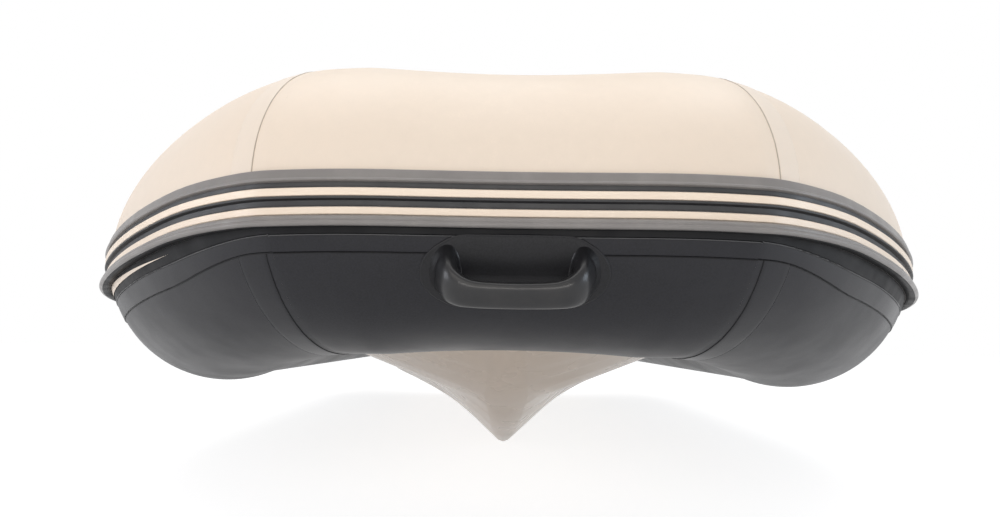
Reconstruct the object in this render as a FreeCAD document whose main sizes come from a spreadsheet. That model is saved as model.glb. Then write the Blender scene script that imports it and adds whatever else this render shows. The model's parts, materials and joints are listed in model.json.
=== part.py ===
import FreeCAD, Part
import math
import os
import Sketcher

# Inflatable tender with a rigid V hull. Millimetres, bow towards -Y, port towards +X, up +Z.
# The origin lies on the centreline, amidships, in the plane of the water at rest.

V = FreeCAD.Vector
UP = V(0, 0, 1)

doc = FreeCAD.newDocument("InflatableTender")
sheet = doc.addObject("Spreadsheet::Sheet", "Sizes")

# Driving sizes: alias, value in millimetres or degrees, what it is
SIZES = (
    ("overall_length", 3400, "front of the bow tube to the tips of the stern cones"),
    ("tube_radius", 216, "side tubes"),
    ("bow_waist", 8, "how much slimmer the bow tube is at the centreline than at its ends"),
    ("bow_axis_height", 320, "axis of the bow tube above the water"),
    ("bow_straight_half", 150, "straight half-length of the bow tube's axis"),
    ("bow_waist_half", 190, "half-length over which the bow tube swells to the side tubes' size"),
    ("bow_bend_angle", 9, "turn of the axis from the straight to the mitre"),
    ("bow_bend_radius", 650, "radius of that turn"),
    ("mitre_angle", 17, "kink of the axis at the mitred seam"),
    ("shoulder_angle", 40, "heading at the end of the tight shoulder"),
    ("shoulder_radius", 450, "radius of the shoulder"),
    ("side_angle", 69, "heading at the end of the long curve"),
    ("side_radius", 712, "radius of the long curve"),
    ("quarter_radius", 1500, "radius of the last curve into the straight sides"),
    ("sheer_drop", 72, "fall of the tube's axis from the bow to the sides"),
    ("sheer_length", 225, "distance in which most of that fall happens"),
    ("cone_length", 400, "stern cones"),
    ("cone_tip_radius", 74, "blunt end of a stern cone"),
    ("cone_rise", 40, "rise of a cone's tip above the tube's axis"),
    ("strake_drop_bow", 18, "middle of the rubbing strake below the axis, at the bow"),
    ("strake_drop_side", 21, "middle of the rubbing strake below the axis, at the sides"),
    ("strake_half_height", 36, "half the height of the rubbing strake"),
    ("strake_lip", 20, "how far the strake's lower lip stands out"),
    ("strake_band", 10, "how far its middle band stands out"),
    ("stripe_depth", 3.5, "thickness of a coloured stripe"),
    ("strake_tail", 60, "strake ends this far ahead of the stern cones"),
    ("fit_gap", 0.3, "clearance where curved faces are seated on each other"),
    ("bow_fit_gap", 0.9, "the same on the waisted bow tube"),
    ("strake_gap", 1.3, "between the rubbing strake's back and a tube's true circle"),
    ("panel_gap", 0.9, "between the upper and the lower panels' solids"),
    ("hull_gap", 2.5, "between the hull and the curved part of the tubes"),
    ("keel_depth", 160, "keel below the water"),
    ("chine_height", 6, "chine above the water"),
    ("chine_half_beam", 475, "half-breadth of the hull at the chine, at the transom"),
    ("stem_aft", 420, "chine's foremost point aft of the bow tube's axis"),
    ("chine_half_beam_fore", 118, "half-breadth at the chine, first offset"),
    ("chine_half_beam_quarter", 172, "half-breadth at the chine, second offset"),
    ("chine_half_beam_middle", 305, "half-breadth at the chine, third offset"),
    ("chine_half_beam_aft", 425, "half-breadth at the chine, fourth offset"),
    ("hull_lead", 18, "front of the hull's rim aft of the bow tube's inner side"),
    ("chine_fore_aft", 620, "first offset aft of the bow tube's axis"),
    ("chine_quarter_aft", 880, "second offset aft of the bow tube's axis"),
    ("chine_middle_aft", 1360, "third offset aft of the bow tube's axis"),
    ("chine_aft_aft", 1900, "fourth offset aft of the bow tube's axis"),
    ("stem_shoulder", 4, "chine outside the blunt stem where it starts"),
    ("forefoot_start", 200, "stem's top aft of the bow tube's axis"),
    ("forefoot_end", 1000, "where the keel becomes straight"),
    ("forefoot_rise", 280, "rise of the stem over the keel"),
    ("forefoot_power", 1.55, "roundness of the forefoot"),
    ("stem_half_width", 44, "half-breadth of the blunt stem at the chine"),
    ("keel_half_width", 5, "half-breadth of the keel's flat"),
    ("stem_top_half_width", 12, "half-breadth of the stem's flat at its top"),
    ("toe_below_axis", 118, "where the hull's topsides meet the tubes, below their axis"),
    ("rim_height", 190, "moulded rim of the hull above the water"),
    ("floor_height", 90, "cockpit floor above the water"),
    ("floor_thickness", 6, "non-skid floor panel"),
    ("well_half_width_aft", 405, "cockpit well at the transom"),
    ("well_half_width_fore", 235, "cockpit well at its front"),
    ("well_front", 620, "front of the cockpit well aft of the bow tube's axis"),
    ("well_full_aft", 1500, "where the well reaches its full width"),
    ("transom_ahead", 92, "aft face of the transom, ahead of the stern cones"),
    ("transom_thickness", 42, "transom board"),
    ("transom_top", 330, "top of the transom beside the motor cut-out"),
    ("motor_cutout_height", 222, "bottom of the motor cut-out above the water"),
    ("motor_cutout_half_width", 190, "motor cut-out"),
    ("motor_pad_thickness", 6, "clamp plates"),
    ("motor_pad_half_width", 140, "clamp plates"),
    ("motor_pad_height", 118, "clamp plates, down from the cut-out"),
    ("locker_gap", 12, "clearance from the bow tube's widest part to the bow locker"),
    ("locker_top", 340, "rim of the bow locker above the water"),
    ("locker_half_width_fore", 165, "bow locker at its front"),
    ("locker_half_width_aft", 285, "bow locker at its back"),
    ("locker_wall", 14, "walls of the bow locker"),
    ("lid_thickness", 16, "locker lid"),
    ("lid_overhang", 8, "lid beyond the locker's walls at the sides and back"),
    ("lid_seal", 1, "gap between the lid and the locker's rim"),
    ("hinge_radius", 5, "knuckles of the lid's hinges"),
    ("hinge_pin_radius", 2.5, "pins of the lid's hinges"),
    ("hinge_pin_clearance", 0.05, "radial clearance of a hinge pin"),
    ("hinge_spread", 95, "hinges from the centreline"),
    ("hinge_knuckle", 18, "length of one knuckle"),
    ("hinge_knuckle_gap", 0.5, "gap between two knuckles"),
    ("seat_forward", 250, "front edge of the thwart seat aft of amidships"),
    ("seat_width", 240, "thwart seat fore and aft"),
    ("seat_thickness", 24, "thwart seat"),
    ("seat_underside", 415, "underside of the thwart seat above the water"),
    ("seat_end_gap", 8, "between the seat's ends and the tubes"),
    ("seat_grip", 34, "length of the seat's ends inside their holders"),
    ("seat_holder_wall", 12, "rubber around the seat's ends"),
    ("seat_play", 1, "clearance of the seat in its holders"),
    ("handle_span", 178, "between the feet of a carrying handle"),
    ("handle_reach", 44, "height of a handle's bar over its base"),
    ("handle_corner", 34, "radius of the bends of a handle"),
    ("handle_half_height", 15.5, "half the height of the bar's section"),
    ("handle_half_depth", 9, "half the depth of the bar's section"),
    ("handle_below", 5, "bow handle's patch below the rubbing strake"),
    ("side_handle_below", 30, "stern handles' patches below the rubbing strake"),
    ("patch_length", 252, "rounded patch under a handle"),
    ("patch_height", 106, "rounded patch under a handle"),
    ("patch_thickness", 4, "rounded patch under a handle"),
    ("side_handle_ahead", 440, "stern carrying handles, ahead of the stern cones"),
    ("rowlock_aft", 20, "rowlocks aft of amidships"),
    ("rowlock_width", 90, "rowlock pads across the tube"),
    ("rowlock_length", 150, "rowlock pads along the tube"),
    ("rowlock_rise", 20, "rowlock pads above the tube's top"),
    ("rowlock_pin_radius", 8, "rowlock pins"),
    ("rowlock_pin_rise", 50, "rowlock pins above their pads"),
    ("valve_ahead", 680, "side valves ahead of the stern cones"),
    ("valve_radius", 34, "cap of an air valve"),
    ("valve_height", 9, "cap of an air valve"),
    ("eye_wire", 5, "radius of the lifting eyes' rod"),
    ("eye_radius", 24, "radius of the lifting eyes' bend"),
    ("eye_height", 60, "lifting eyes below the transom's top"),
    ("eye_spread", 300, "lifting eyes from the centreline"),
    ("drain_radius", 30, "flange of the self-bailing drain"),
    ("drain_height", 42, "drain above the water"),
    ("drain_depth", 12, "flange of the self-bailing drain"),
)
for row, (alias, value, meaning) in enumerate(SIZES, start=1):
    sheet.set("A%d" % row, alias)
    sheet.set("B%d" % row, str(value))
    sheet.set("C%d" % row, meaning)
    sheet.setAlias("B%d" % row, alias)
doc.recompute()


def size(alias):
    """Value of one driving size."""
    return float(sheet.get(alias))


nodes = []


def finish(obj, name):
    """Give a sub-part its name and keep it for the export."""
    obj.Label = name
    nodes.append(obj)
    return obj


def bind(obj, **expressions):
    """Bind properties to cells; a double underscore stands for a dot."""
    for prop, expression in expressions.items():
        obj.setExpression(prop.replace("__", "."), expression)
    return obj


def shape_object(name, shape):
    """A plain document object that holds a computed shape."""
    obj = doc.addObject("Part::Feature", name)
    obj.Shape = shape
    return obj


def cut(name, base, tool):
    """Base less tool."""
    obj = doc.addObject("Part::Cut", name)
    obj.Base = base
    obj.Tool = tool
    return obj


def fuse(name, *parts):
    """Parts joined in one."""
    obj = doc.addObject("Part::MultiFuse", name)
    obj.Shapes = list(parts)
    return obj


def mirrored(name, source):
    """The starboard copy of a port piece."""
    obj = doc.addObject("Part::Mirroring", name)
    obj.Source = source
    obj.Base = V(0, 0, 0)
    obj.Normal = V(1, 0, 0)
    return obj


def pair(name, port_object):
    """Finish a port piece and its starboard mirror image."""
    finish(port_object, name % "port")
    finish(mirrored((name % "starboard").title().replace("_", ""), port_object), name % "starboard")


def unit(vector):
    """The vector at length one."""
    copy = V(vector)
    copy.normalize()
    return copy


# Axis of the tubes: where it runs in plan and how it falls aft of the bow
bow_radius = size("tube_radius") - size("bow_waist")
bow_axis_y = bow_radius - size("overall_length") / 2
stern_y = size("overall_length") / 2
cone_start = stern_y - size("cone_length")


def axis_height(aft):
    """Height of the tubes' axis at a distance aft of the bow axis."""
    fall = size("sheer_drop") * (1 - math.exp(-(aft / size("sheer_length")) ** 1.5))
    return size("bow_axis_height") - fall


class Station:
    """One cross-section of a tube: centre, direction, radius and the height of its colour split."""

    def __init__(self, x, aft, heading, turn=None):
        self.x = x
        self.aft = aft
        self.heading = heading
        turn = abs(heading if turn is None else turn)
        blend = min(turn / size("shoulder_angle"), 1)
        inside = min(abs(x) / size("bow_waist_half"), 1)
        self.radius = bow_radius + size("bow_waist") * inside ** 2
        self.drop = size("strake_drop_bow")
        self.drop += (size("strake_drop_side") - size("strake_drop_bow")) * blend
        self.centre = V(x, bow_axis_y + aft, axis_height(aft))
        angle = math.radians(heading)
        slope = 0 if abs(heading) >= 90 else (axis_height(aft) - axis_height(aft + 1))
        self.along = unit(V(math.cos(angle), math.sin(angle), -slope * math.sin(angle)))
        self.up = unit(UP - self.along * self.along.z)
        self.out = self.along.cross(self.up)

    def onto(self, normal):
        """Slant the section, along the tube, onto a plane with this normal."""
        self.out = self.out - self.along * (self.out.dot(normal) / self.along.dot(normal))
        self.up = self.up - self.along * (self.up.dot(normal) / self.along.dot(normal))
        return self

    def matrix(self, origin):
        """Matrix that takes the section's own plane to this station."""
        n, u, t, c = self.out, self.up, self.along, origin
        return FreeCAD.Matrix(n.x, u.x, t.x, c.x, n.y, u.y, t.y, c.y, n.z, u.z, t.z, c.z, 0, 0, 0, 1)

    def surface_point(self):
        """Point on the tube's outer side at the middle of the strake."""
        breadth = math.sqrt(self.radius ** 2 - self.drop ** 2)
        return self.centre + self.out * breadth - self.up * self.drop


def bow_bend(share):
    """Point of the axis in the bow's bend, as (x, aft, heading); share 1 is the mitre."""
    heading = size("bow_bend_angle") * share
    turn = math.radians(heading)
    x = size("bow_straight_half") + size("bow_bend_radius") * math.sin(turn)
    return x, size("bow_bend_radius") * (1 - math.cos(turn)), heading


def half_axis():
    """Corner points of the port half of the axis, as (x, aft, heading), mitre to straight side."""
    x, aft, start = bow_bend(1)
    start += size("mitre_angle")
    points = [(x, aft, start)]
    arcs = (
        (start, size("shoulder_angle"), size("shoulder_radius"), 2),
        (size("shoulder_angle"), size("side_angle"), size("side_radius"), 6),
        (size("side_angle"), 90, size("quarter_radius"), 4),
    )
    for first, last, radius, steps in arcs:
        a = math.radians(first)
        for step in range(1, steps + 1):
            heading = first + (last - first) * step / steps
            b = math.radians(heading)
            points.append((
                x + radius * (math.sin(b) - math.sin(a)),
                aft + radius * (math.cos(a) - math.cos(b)),
                heading,
            ))
        x, aft = points[-1][:2]
    return points


AXIS = half_axis()
CURVE_END = [round(heading) for x, aft, heading in AXIS].index(round(size("side_angle")))
mitre_x, mitre_aft, mitre_heading = AXIS[0]
side_x, side_aft = AXIS[-1][:2]
side_axis_height = axis_height(side_aft)
side_start = bow_axis_y + side_aft
middle_heading = size("bow_bend_angle") + size("mitre_angle") / 2


def mitre_normal(side):
    """Normal of the seam's plane, halfway between the directions of the two tubes."""
    bow = Station(side * mitre_x, mitre_aft, side * size("bow_bend_angle"))
    flank = Station(side * mitre_x, mitre_aft, side * mitre_heading)
    return unit(bow.along + flank.along)


def eased(station, share):
    """Turn a section's plane part of the way towards the mitre's, so that sections don't cross."""
    normal = mitre_normal(math.copysign(1, station.x))
    return station.onto(unit(station.along * (1 - share) + normal * share))


def bow_stations():
    """Sections of the bow tube, starboard mitre to port mitre."""
    stations = [Station(share / 3 * size("bow_straight_half"), 0, 0) for share in range(-2, 3)]
    for share, ease in ((0, 0.2), (0.5, 0.5), (1, 1)):
        x, aft, heading = bow_bend(share)
        turn = middle_heading if share == 1 else heading
        stations.insert(0, eased(Station(-x, aft, -heading, turn), ease))
        stations.append(eased(Station(x, aft, heading, turn), ease))
    return stations


def side_stations():
    """Sections of the port side tube, from the mitre to the end of its long curve."""
    first = eased(Station(mitre_x, mitre_aft, mitre_heading, middle_heading), 1)
    first.centre = first.centre + mitre_normal(1) * size("fit_gap")
    stations = [first] + [Station(*point) for point in AXIS[1:CURVE_END + 1]]
    for number in range(1, 5):
        eased(stations[number], (1 - number / 5) ** 2)
    return stations


def section(station, part, extra=0):
    """Closed outline of a tube at a station: whole, above its colour split, or below it."""
    radius = station.radius + extra
    circle = Part.Circle(V(0, 0, 0), UP, radius)
    matrix = station.matrix(station.centre)
    if part == "whole":
        return Part.Wire([circle.toShape()]).transformGeometry(matrix)
    gap = size("panel_gap") if part == "lower" else 0
    low = math.asin(-(station.drop + gap) / radius)
    ends = {"upper": (low, math.pi - low), "lower": (math.pi - low, 2 * math.pi + low)}[part]
    arc = Part.ArcOfCircle(circle, *ends)
    chord = Part.LineSegment(arc.value(ends[1]), arc.value(ends[0]))
    return Part.Wire([arc.toShape(), chord.toShape()]).transformGeometry(matrix)


def loft(name, outlines, ruled=False):
    """Solid through closed outlines."""
    obj = doc.addObject("Part::Loft", name)
    obj.Sections = [shape_object("%sSection%d" % (name, i), w) for i, w in enumerate(outlines)]
    obj.Solid = True
    obj.Ruled = ruled
    return obj


# Air tubes: bow, curved sides, straight sides and stern cones, each in an upper and a lower panel
straight_stations = []
for y in (side_start, cone_start):
    here = Station(side_x, side_aft, 90)
    here.centre = V(side_x, y, side_axis_height)
    straight_stations.append(here)
quarter_stations = [Station(*point) for point in AXIS[CURVE_END:]]

for part in ("upper", "lower"):
    bow = loft("TubeBow" + part.title(), [section(s, part) for s in bow_stations()])
    finish(bow, "tube_bow_" + part)
    forward = loft("TubeForward" + part.title(), [section(s, part) for s in side_stations()])
    pair("tube_%s_forward_" + part, forward)
    quarter = loft("TubeQuarter" + part.title(), [section(s, part) for s in quarter_stations])
    straight = loft("TubeStraight" + part.title(), [section(s, part) for s in straight_stations])
    pair("tube_%s_aft_" + part, fuse("TubeAft" + part.title(), quarter, straight))

tip = Station(side_x, side_aft, 90)
tip.centre = V(side_x, stern_y, side_axis_height + size("cone_rise"))
tip.radius = size("cone_tip_radius")
tip.drop = 0
cone_profile = [section(straight_stations[1], "whole"), section(tip, "whole")]
cone_blank = loft("ConeBlank", cone_profile, ruled=True)
doc.recompute()
cone = doc.addObject("Part::Fillet", "SternCone")
cone.Base = cone_blank
tip_edge = [i for i, e in enumerate(cone_blank.Shape.Edges, start=1)
            if e.BoundBox.YMin > stern_y - 1][0]
tip_rounding = size("cone_tip_radius") * 0.6
cone.Edges = [(tip_edge, tip_rounding, tip_rounding)]
pair("stern_cone_%s", cone)

# Envelopes: the straight side tube and the waisted bow tube with a clearance, which trim
# everything that is seated on them


def side_envelope(name, extra):
    """Straight port tube, larger in radius by a bound clearance."""
    obj = doc.addObject("Part::Cylinder", name)
    bind(obj, Radius="Sizes.tube_radius + " + extra)
    obj.Height = cone_start - side_start
    obj.Placement = FreeCAD.Placement(
        V(side_x, side_start, side_axis_height), FreeCAD.Rotation(V(1, 0, 0), -90))
    return obj


def bow_envelope(name, extra):
    """Straight part of the bow tube, slim in the middle, larger in radius by a clearance."""
    reach = size("bow_waist_half")
    rim = size("tube_radius") + extra
    waist = bow_radius + extra
    corners = (V(-reach, 0, 0), V(-reach, rim, 0), V(reach, rim, 0), V(reach, 0, 0))
    outline = Part.Wire([
        Part.LineSegment(corners[0], corners[1]).toShape(),
        Part.Arc(corners[1], V(0, waist, 0), corners[2]).toShape(),
        Part.LineSegment(corners[2], corners[3]).toShape(),
        Part.LineSegment(corners[3], corners[0]).toShape(),
    ])
    turned = Part.Face(outline).revolve(V(0, 0, 0), V(1, 0, 0), 360)
    obj = shape_object(name, turned)
    obj.Placement.Base = V(0, bow_axis_y, size("bow_axis_height"))
    return obj


side_seat = side_envelope("SideSeat", "Sizes.fit_gap")
bow_seat = bow_envelope("BowSeat", size("bow_fit_gap"))


# Rubbing strake: one moulded profile round the bow and along both sides, with two inset stripes


def strake_frames(points):
    """Frames on the tube's outer side: origin, outward and upward directions."""
    frames = []
    for s in points:
        origin = s.surface_point()
        outward = unit(origin - s.centre)
        upward = unit(UP - outward * outward.z)
        frames.append((origin, outward, upward))
    return frames


def strake_outline(frame, profile):
    """Closed outline from profile points, given as (outward, upward)."""
    origin, outward, upward = frame
    corners = [origin + outward * n + upward * v for n, v in profile]
    return Part.makePolygon(corners + corners[:1])


def tube_sag(height):
    """How far the round tube falls back from its outermost line at a height on the strake."""
    return math.sqrt(size("tube_radius") ** 2 - height ** 2) - size("tube_radius")


half = size("strake_half_height")
lip = size("strake_lip")
band = size("strake_band")
groove = band / 2
stripe_top = half * 0.34
stripe_low = half * 0.05
lower_top = -half * 0.32
lower_low = -half * 0.6
back = [(tube_sag(v) + size("strake_gap"), v) for v in (-half, -half / 2, 0, half / 2, half)]
BASE_PROFILE = (
    *back, (2.5, half * 0.97), (groove, half * 0.8),
    (groove + 1, stripe_top), (groove, stripe_top - 0.3), (groove, stripe_low),
    (band, stripe_low - 0.3), (band, lower_top + 0.3), (groove, lower_top), (groove, lower_low),
    (lip * 0.7, lower_low - 0.5), (lip * 0.93, -half * 0.7), (lip, -half * 0.82),
    (lip * 0.87, -half * 0.95), (lip * 0.55, -half),
)
stripe_back = groove + size("fit_gap")
stripe_face = groove + size("stripe_depth")
STRIPES = {
    "upper": (stripe_top - 0.5, stripe_low + 0.5),
    "lower": (lower_top - 0.5, lower_low + 0.5),
}

strake_end = Station(side_x, side_aft, 90)
strake_end.centre = V(side_x, cone_start - size("strake_tail"), side_axis_height)


def reflected(frames):
    """The same frames on the starboard side, in reverse order."""
    return [tuple(V(-v.x, v.y, v.z) for v in f) for f in reversed(frames)]


front_half = strake_frames([station for station in bow_stations() if station.x >= 0])
front_frames = reflected(front_half[1:]) + front_half
shoulder_frames = front_half[-1:] + strake_frames(side_stations()[1:])
quarter_frames = strake_frames(quarter_stations)
tail_frames = [quarter_frames[-1]] + strake_frames([strake_end])


def strake_runs(name, profile):
    """The profile round the bow, mitred at both seams, and along the port side."""
    bow = loft(name + "Front", [strake_outline(f, profile) for f in front_frames])
    shoulder = loft(name + "Shoulder", [strake_outline(f, profile) for f in shoulder_frames])
    flank = loft(name + "Quarter", [strake_outline(f, profile) for f in quarter_frames])
    tail = loft(name + "Tail", [strake_outline(f, profile) for f in tail_frames], ruled=True)
    return bow, shoulder, fuse(name + "Side", flank, tail)


front, shoulder, side_run = strake_runs("Strake", BASE_PROFILE)
finish(front, "rubbing_strake_bow")
pair("rubbing_strake_shoulder_%s", shoulder)
pair("rubbing_strake_%s", side_run)
for level, (top, low) in STRIPES.items():
    profile = ((stripe_back, top), (stripe_face, top), (stripe_face, low), (stripe_back, low))
    title = "Stripe" + level.title()
    front, shoulder, side_run = strake_runs(title, profile)
    opposite = mirrored(title + "ShoulderStarboard", shoulder)
    finish(fuse(title + "Bow", front, shoulder, opposite), "strake_stripe_bow_" + level)
    pair("strake_stripe_%s_" + level, side_run)


# Rigid hull: a warped V bottom with a blunt stem, solid below the cockpit's moulded well


def keel_height(aft):
    """Profile of the stem, the forefoot and the straight keel."""
    run = size("forefoot_end") - size("forefoot_start")
    share = min(max((aft - size("forefoot_start")) / run, 0), 1)
    return size("forefoot_rise") * (1 - share) ** size("forefoot_power") - size("keel_depth")


transom_face = cone_start - size("transom_ahead")
CHINE_OFFSETS = (
    (size("stem_aft"), size("stem_half_width") + size("stem_shoulder")),
    (size("chine_fore_aft"), size("chine_half_beam_fore")),
    (size("chine_quarter_aft"), size("chine_half_beam_quarter")),
    (size("chine_middle_aft"), size("chine_half_beam_middle")),
    (size("chine_aft_aft"), size("chine_half_beam_aft")),
    (transom_face - bow_axis_y, size("chine_half_beam")),
)
chine_curve = Part.BSplineCurve()
chine_curve.interpolate([V(aft, breadth, 0) for aft, breadth in CHINE_OFFSETS])


def chine_breadth(aft):
    """Half-breadth of the chine in plan, through the table of offsets."""
    low, high = chine_curve.FirstParameter, chine_curve.LastParameter
    for _ in range(40):
        middle = (low + high) / 2
        if chine_curve.value(middle).x < aft:
            low = middle
        else:
            high = middle
    return chine_curve.value(low).y


def stem_flat(aft):
    """Half-breadth of the flat along the stem and the keel, widest where the chine starts."""
    if aft < size("stem_aft"):
        share = (size("stem_aft") - aft) / size("stem_aft")
        return size("stem_half_width") + (size("stem_top_half_width") - size("stem_half_width")) * share
    share = min((aft - size("stem_aft")) / (size("forefoot_end") - size("stem_aft")), 1)
    return size("stem_half_width") + (size("keel_half_width") - size("stem_half_width")) * share


def plan_axis():
    """Fine polyline of the port half of the axis in plan, from the centreline to the stern."""
    points = [(0, 0), (size("bow_straight_half"), 0), AXIS[0][:2]]
    for (x0, a0, h0), (x1, a1, h1) in zip(AXIS, AXIS[1:]):
        angle0, angle1 = math.radians(h0), math.radians(h1)
        radius = (a1 - a0) / (math.cos(angle0) - math.cos(angle1))
        for step in range(1, 7):
            angle = angle0 + (angle1 - angle0) * step / 6
            points.append((
                x0 + radius * (math.sin(angle) - math.sin(angle0)),
                a0 + radius * (math.cos(angle0) - math.cos(angle)),
            ))
    return points + [(side_x, stern_y - bow_axis_y)]


PLAN = plan_axis()


def nearest_on_axis(x, aft):
    """Distance in plan from a point to the axis, and how far aft the nearest point lies."""
    best = (1e9, 0)
    for (x0, a0), (x1, a1) in zip(PLAN, PLAN[1:]):
        run = (x1 - x0) ** 2 + (a1 - a0) ** 2
        share = min(max(((x - x0) * (x1 - x0) + (aft - a0) * (a1 - a0)) / run, 0), 1)
        near_x, near_aft = x0 + share * (x1 - x0), a0 + share * (a1 - a0)
        best = min(best, (math.hypot(x - near_x, aft - near_aft), near_aft))
    return best


def hull_clearance(aft):
    """Clearance of the hull to the tubes: small along the straight sides."""
    return 2 * size("fit_gap") if aft > side_aft else size("hull_gap")


def inboard_face(aft, height):
    """Point on the inboard side of the port tube at a height above the water."""
    low, high = 0, tube_outboard(aft)
    for _ in range(40):
        x = (low + high) / 2
        distance, near_aft = nearest_on_axis(x, aft)
        radius = size("tube_radius") + hull_clearance(aft)
        if distance ** 2 + (axis_height(near_aft) - height) ** 2 > radius ** 2:
            low = x
        else:
            high = x
    return V(low, bow_axis_y + aft, height)


def tube_outboard(aft):
    """Outboard place of the tube's axis at a distance aft of the bow axis."""
    for (x0, a0), (x1, a1) in zip(PLAN, PLAN[1:]):
        if a0 <= aft <= a1 and a1 > a0:
            return x0 + (x1 - x0) * (aft - a0) / (a1 - a0)
    return side_x


def hull_outline(aft):
    """Cross-section of the hull, hollowed at the sides to take the tubes."""
    keel = keel_height(aft)
    flat = stem_flat(aft)
    breadth = chine_breadth(aft) if aft > size("stem_aft") else flat + size("stem_shoulder")
    chine = max(size("chine_height"), keel + 5)
    flat_height = keel + 2 + (chine - keel) * 0.02
    toe_height = axis_height(aft) - size("toe_below_axis")
    toe = inboard_face(aft, toe_height)
    rim = inboard_face(aft, size("rim_height"))
    middle = inboard_face(aft, (size("rim_height") + toe_height) / 2)
    y = bow_axis_y + aft
    corners = [V(breadth, y, chine), V(flat, y, flat_height), V(0, y, keel)]
    corners += [V(-p.x, y, p.z) for p in reversed(corners[:2])]

    def other(p):
        return V(-p.x, p.y, p.z)

    line = [toe] + corners + [other(toe)]
    edges = [Part.Arc(rim, middle, toe).toShape()]
    edges += [Part.LineSegment(a, b).toShape() for a, b in zip(line, line[1:])]
    edges += [Part.Arc(other(toe), other(middle), other(rim)).toShape()]
    edges += [Part.LineSegment(other(rim), rim).toShape()]
    return Part.Wire(edges)


transom_front = transom_face - size("transom_thickness")
rim_depth = size("bow_axis_height") - size("rim_height")
hull_front = math.sqrt(size("tube_radius") ** 2 - rim_depth ** 2) + size("hull_lead")


def spaced(first, last, count, crowding):
    """Places from first to last, crowded towards the first."""
    return [first + (last - first) * (i / count) ** crowding for i in range(count + 1)]


hull_stations = spaced(hull_front, size("stem_aft"), 5, 1.3)
hull_stations += spaced(size("stem_aft"), transom_face - bow_axis_y, 16, 1.4)[1:]
hull_blank = loft("HullBlank", [hull_outline(aft) for aft in hull_stations], ruled=True)


def well_outline(height, inset=0):
    """Plan of the cockpit well, from its front to the transom."""
    front_y = bow_axis_y + size("well_front") + inset
    full_y = bow_axis_y + size("well_full_aft")
    back_y = transom_front - inset
    fore = size("well_half_width_fore") - inset
    aft_width = size("well_half_width_aft") - inset
    half_points = [(fore, front_y), (aft_width, full_y), (aft_width, back_y)]
    port = [V(x, y, height) for x, y in half_points]
    starboard = [V(-p.x, p.y, p.z) for p in reversed(port)]
    return Part.makePolygon(port + starboard + port[:1])


def prism(name, outline, height):
    """Solid above a flat closed outline."""
    return shape_object(name, Part.Face(outline).extrude(V(0, 0, height)))


TRANSOM_FACE = "Sizes.overall_length / 2 - Sizes.cone_length - Sizes.transom_ahead"
well = prism(
    "CockpitWell",
    well_outline(size("floor_height") - size("floor_thickness")),
    size("rim_height"),
)
transom_slot = doc.addObject("Part::Box", "TransomSlot")
bind(
    transom_slot,
    Length="4 * Sizes.chine_half_beam",
    Width="Sizes.transom_thickness",
    Height="Sizes.rim_height",
    Placement__Base__x="-2 * Sizes.chine_half_beam",
    Placement__Base__y=TRANSOM_FACE + " - Sizes.transom_thickness",
    Placement__Base__z="Sizes.floor_height - Sizes.floor_thickness",
)
hull_tools = doc.addObject("Part::Compound", "HullTools")
hull_tools.Links = [well, transom_slot]
finish(cut("RigidHull", hull_blank, hull_tools), "hull")
floor_panel = prism(
    "FloorPanel",
    well_outline(size("floor_height") - size("floor_thickness"), size("fit_gap")),
    size("floor_thickness"),
)
finish(floor_panel, "cockpit_floor")


def closed_sketch(body, role, corners):
    """Closed polygon on an origin plane, each corner's coordinates bound to cells."""
    plane = [f for f in body.Origin.OriginFeatures if f.Role == role][0]
    sketch = body.newObject("Sketcher::SketchObject", body.Name + "Sketch")
    sketch.AttachmentSupport = [(plane, "")]
    sketch.MapMode = "FlatFace"
    count = len(corners)
    for i in range(count):
        a = 2 * math.pi * i / count
        b = 2 * math.pi * (i + 1) / count
        reach = size("transom_top")
        start = V(reach * math.cos(a), reach * math.sin(a), 0)
        end = V(reach * math.cos(b), reach * math.sin(b), 0)
        sketch.addGeometry(Part.LineSegment(start, end))
    for i in range(count):
        sketch.addConstraint(Sketcher.Constraint("Coincident", i, 2, (i + 1) % count, 1))
    for i, (across, upward) in enumerate(corners):
        for kind, expression in (("DistanceX", across), ("DistanceY", upward)):
            number = sketch.addConstraint(Sketcher.Constraint(kind, -1, 1, i, 1, 10))
            sketch.setExpression("Constraints[%d]" % number, expression)
    return sketch


# Transom: a board across the stern with a cut-out for the outboard motor's bracket
transom_body = doc.addObject("PartDesign::Body", "TransomBoard")
transom_sketch = closed_sketch(transom_body, "XZ_Plane", (
    ("-Sizes.chine_half_beam - 60", "Sizes.floor_height - Sizes.floor_thickness"),
    ("Sizes.chine_half_beam + 60", "Sizes.floor_height - Sizes.floor_thickness"),
    ("Sizes.chine_half_beam + 60", "Sizes.transom_top"),
    ("Sizes.motor_cutout_half_width + 50", "Sizes.transom_top"),
    ("Sizes.motor_cutout_half_width", "Sizes.motor_cutout_height"),
    ("-Sizes.motor_cutout_half_width", "Sizes.motor_cutout_height"),
    ("-Sizes.motor_cutout_half_width - 50", "Sizes.transom_top"),
    ("-Sizes.chine_half_beam - 60", "Sizes.transom_top"),
))
transom_pad = transom_body.newObject("PartDesign::Pad", "TransomPad")
transom_pad.Profile = transom_sketch
bind(transom_pad, Length="Sizes.transom_thickness")
bind(transom_body, Placement__Base__y=TRANSOM_FACE)
transom_port = cut("TransomPortTrim", transom_body, side_seat)
finish(cut("Transom", transom_port, mirrored("StarboardSeat", side_seat)), "transom")

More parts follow.
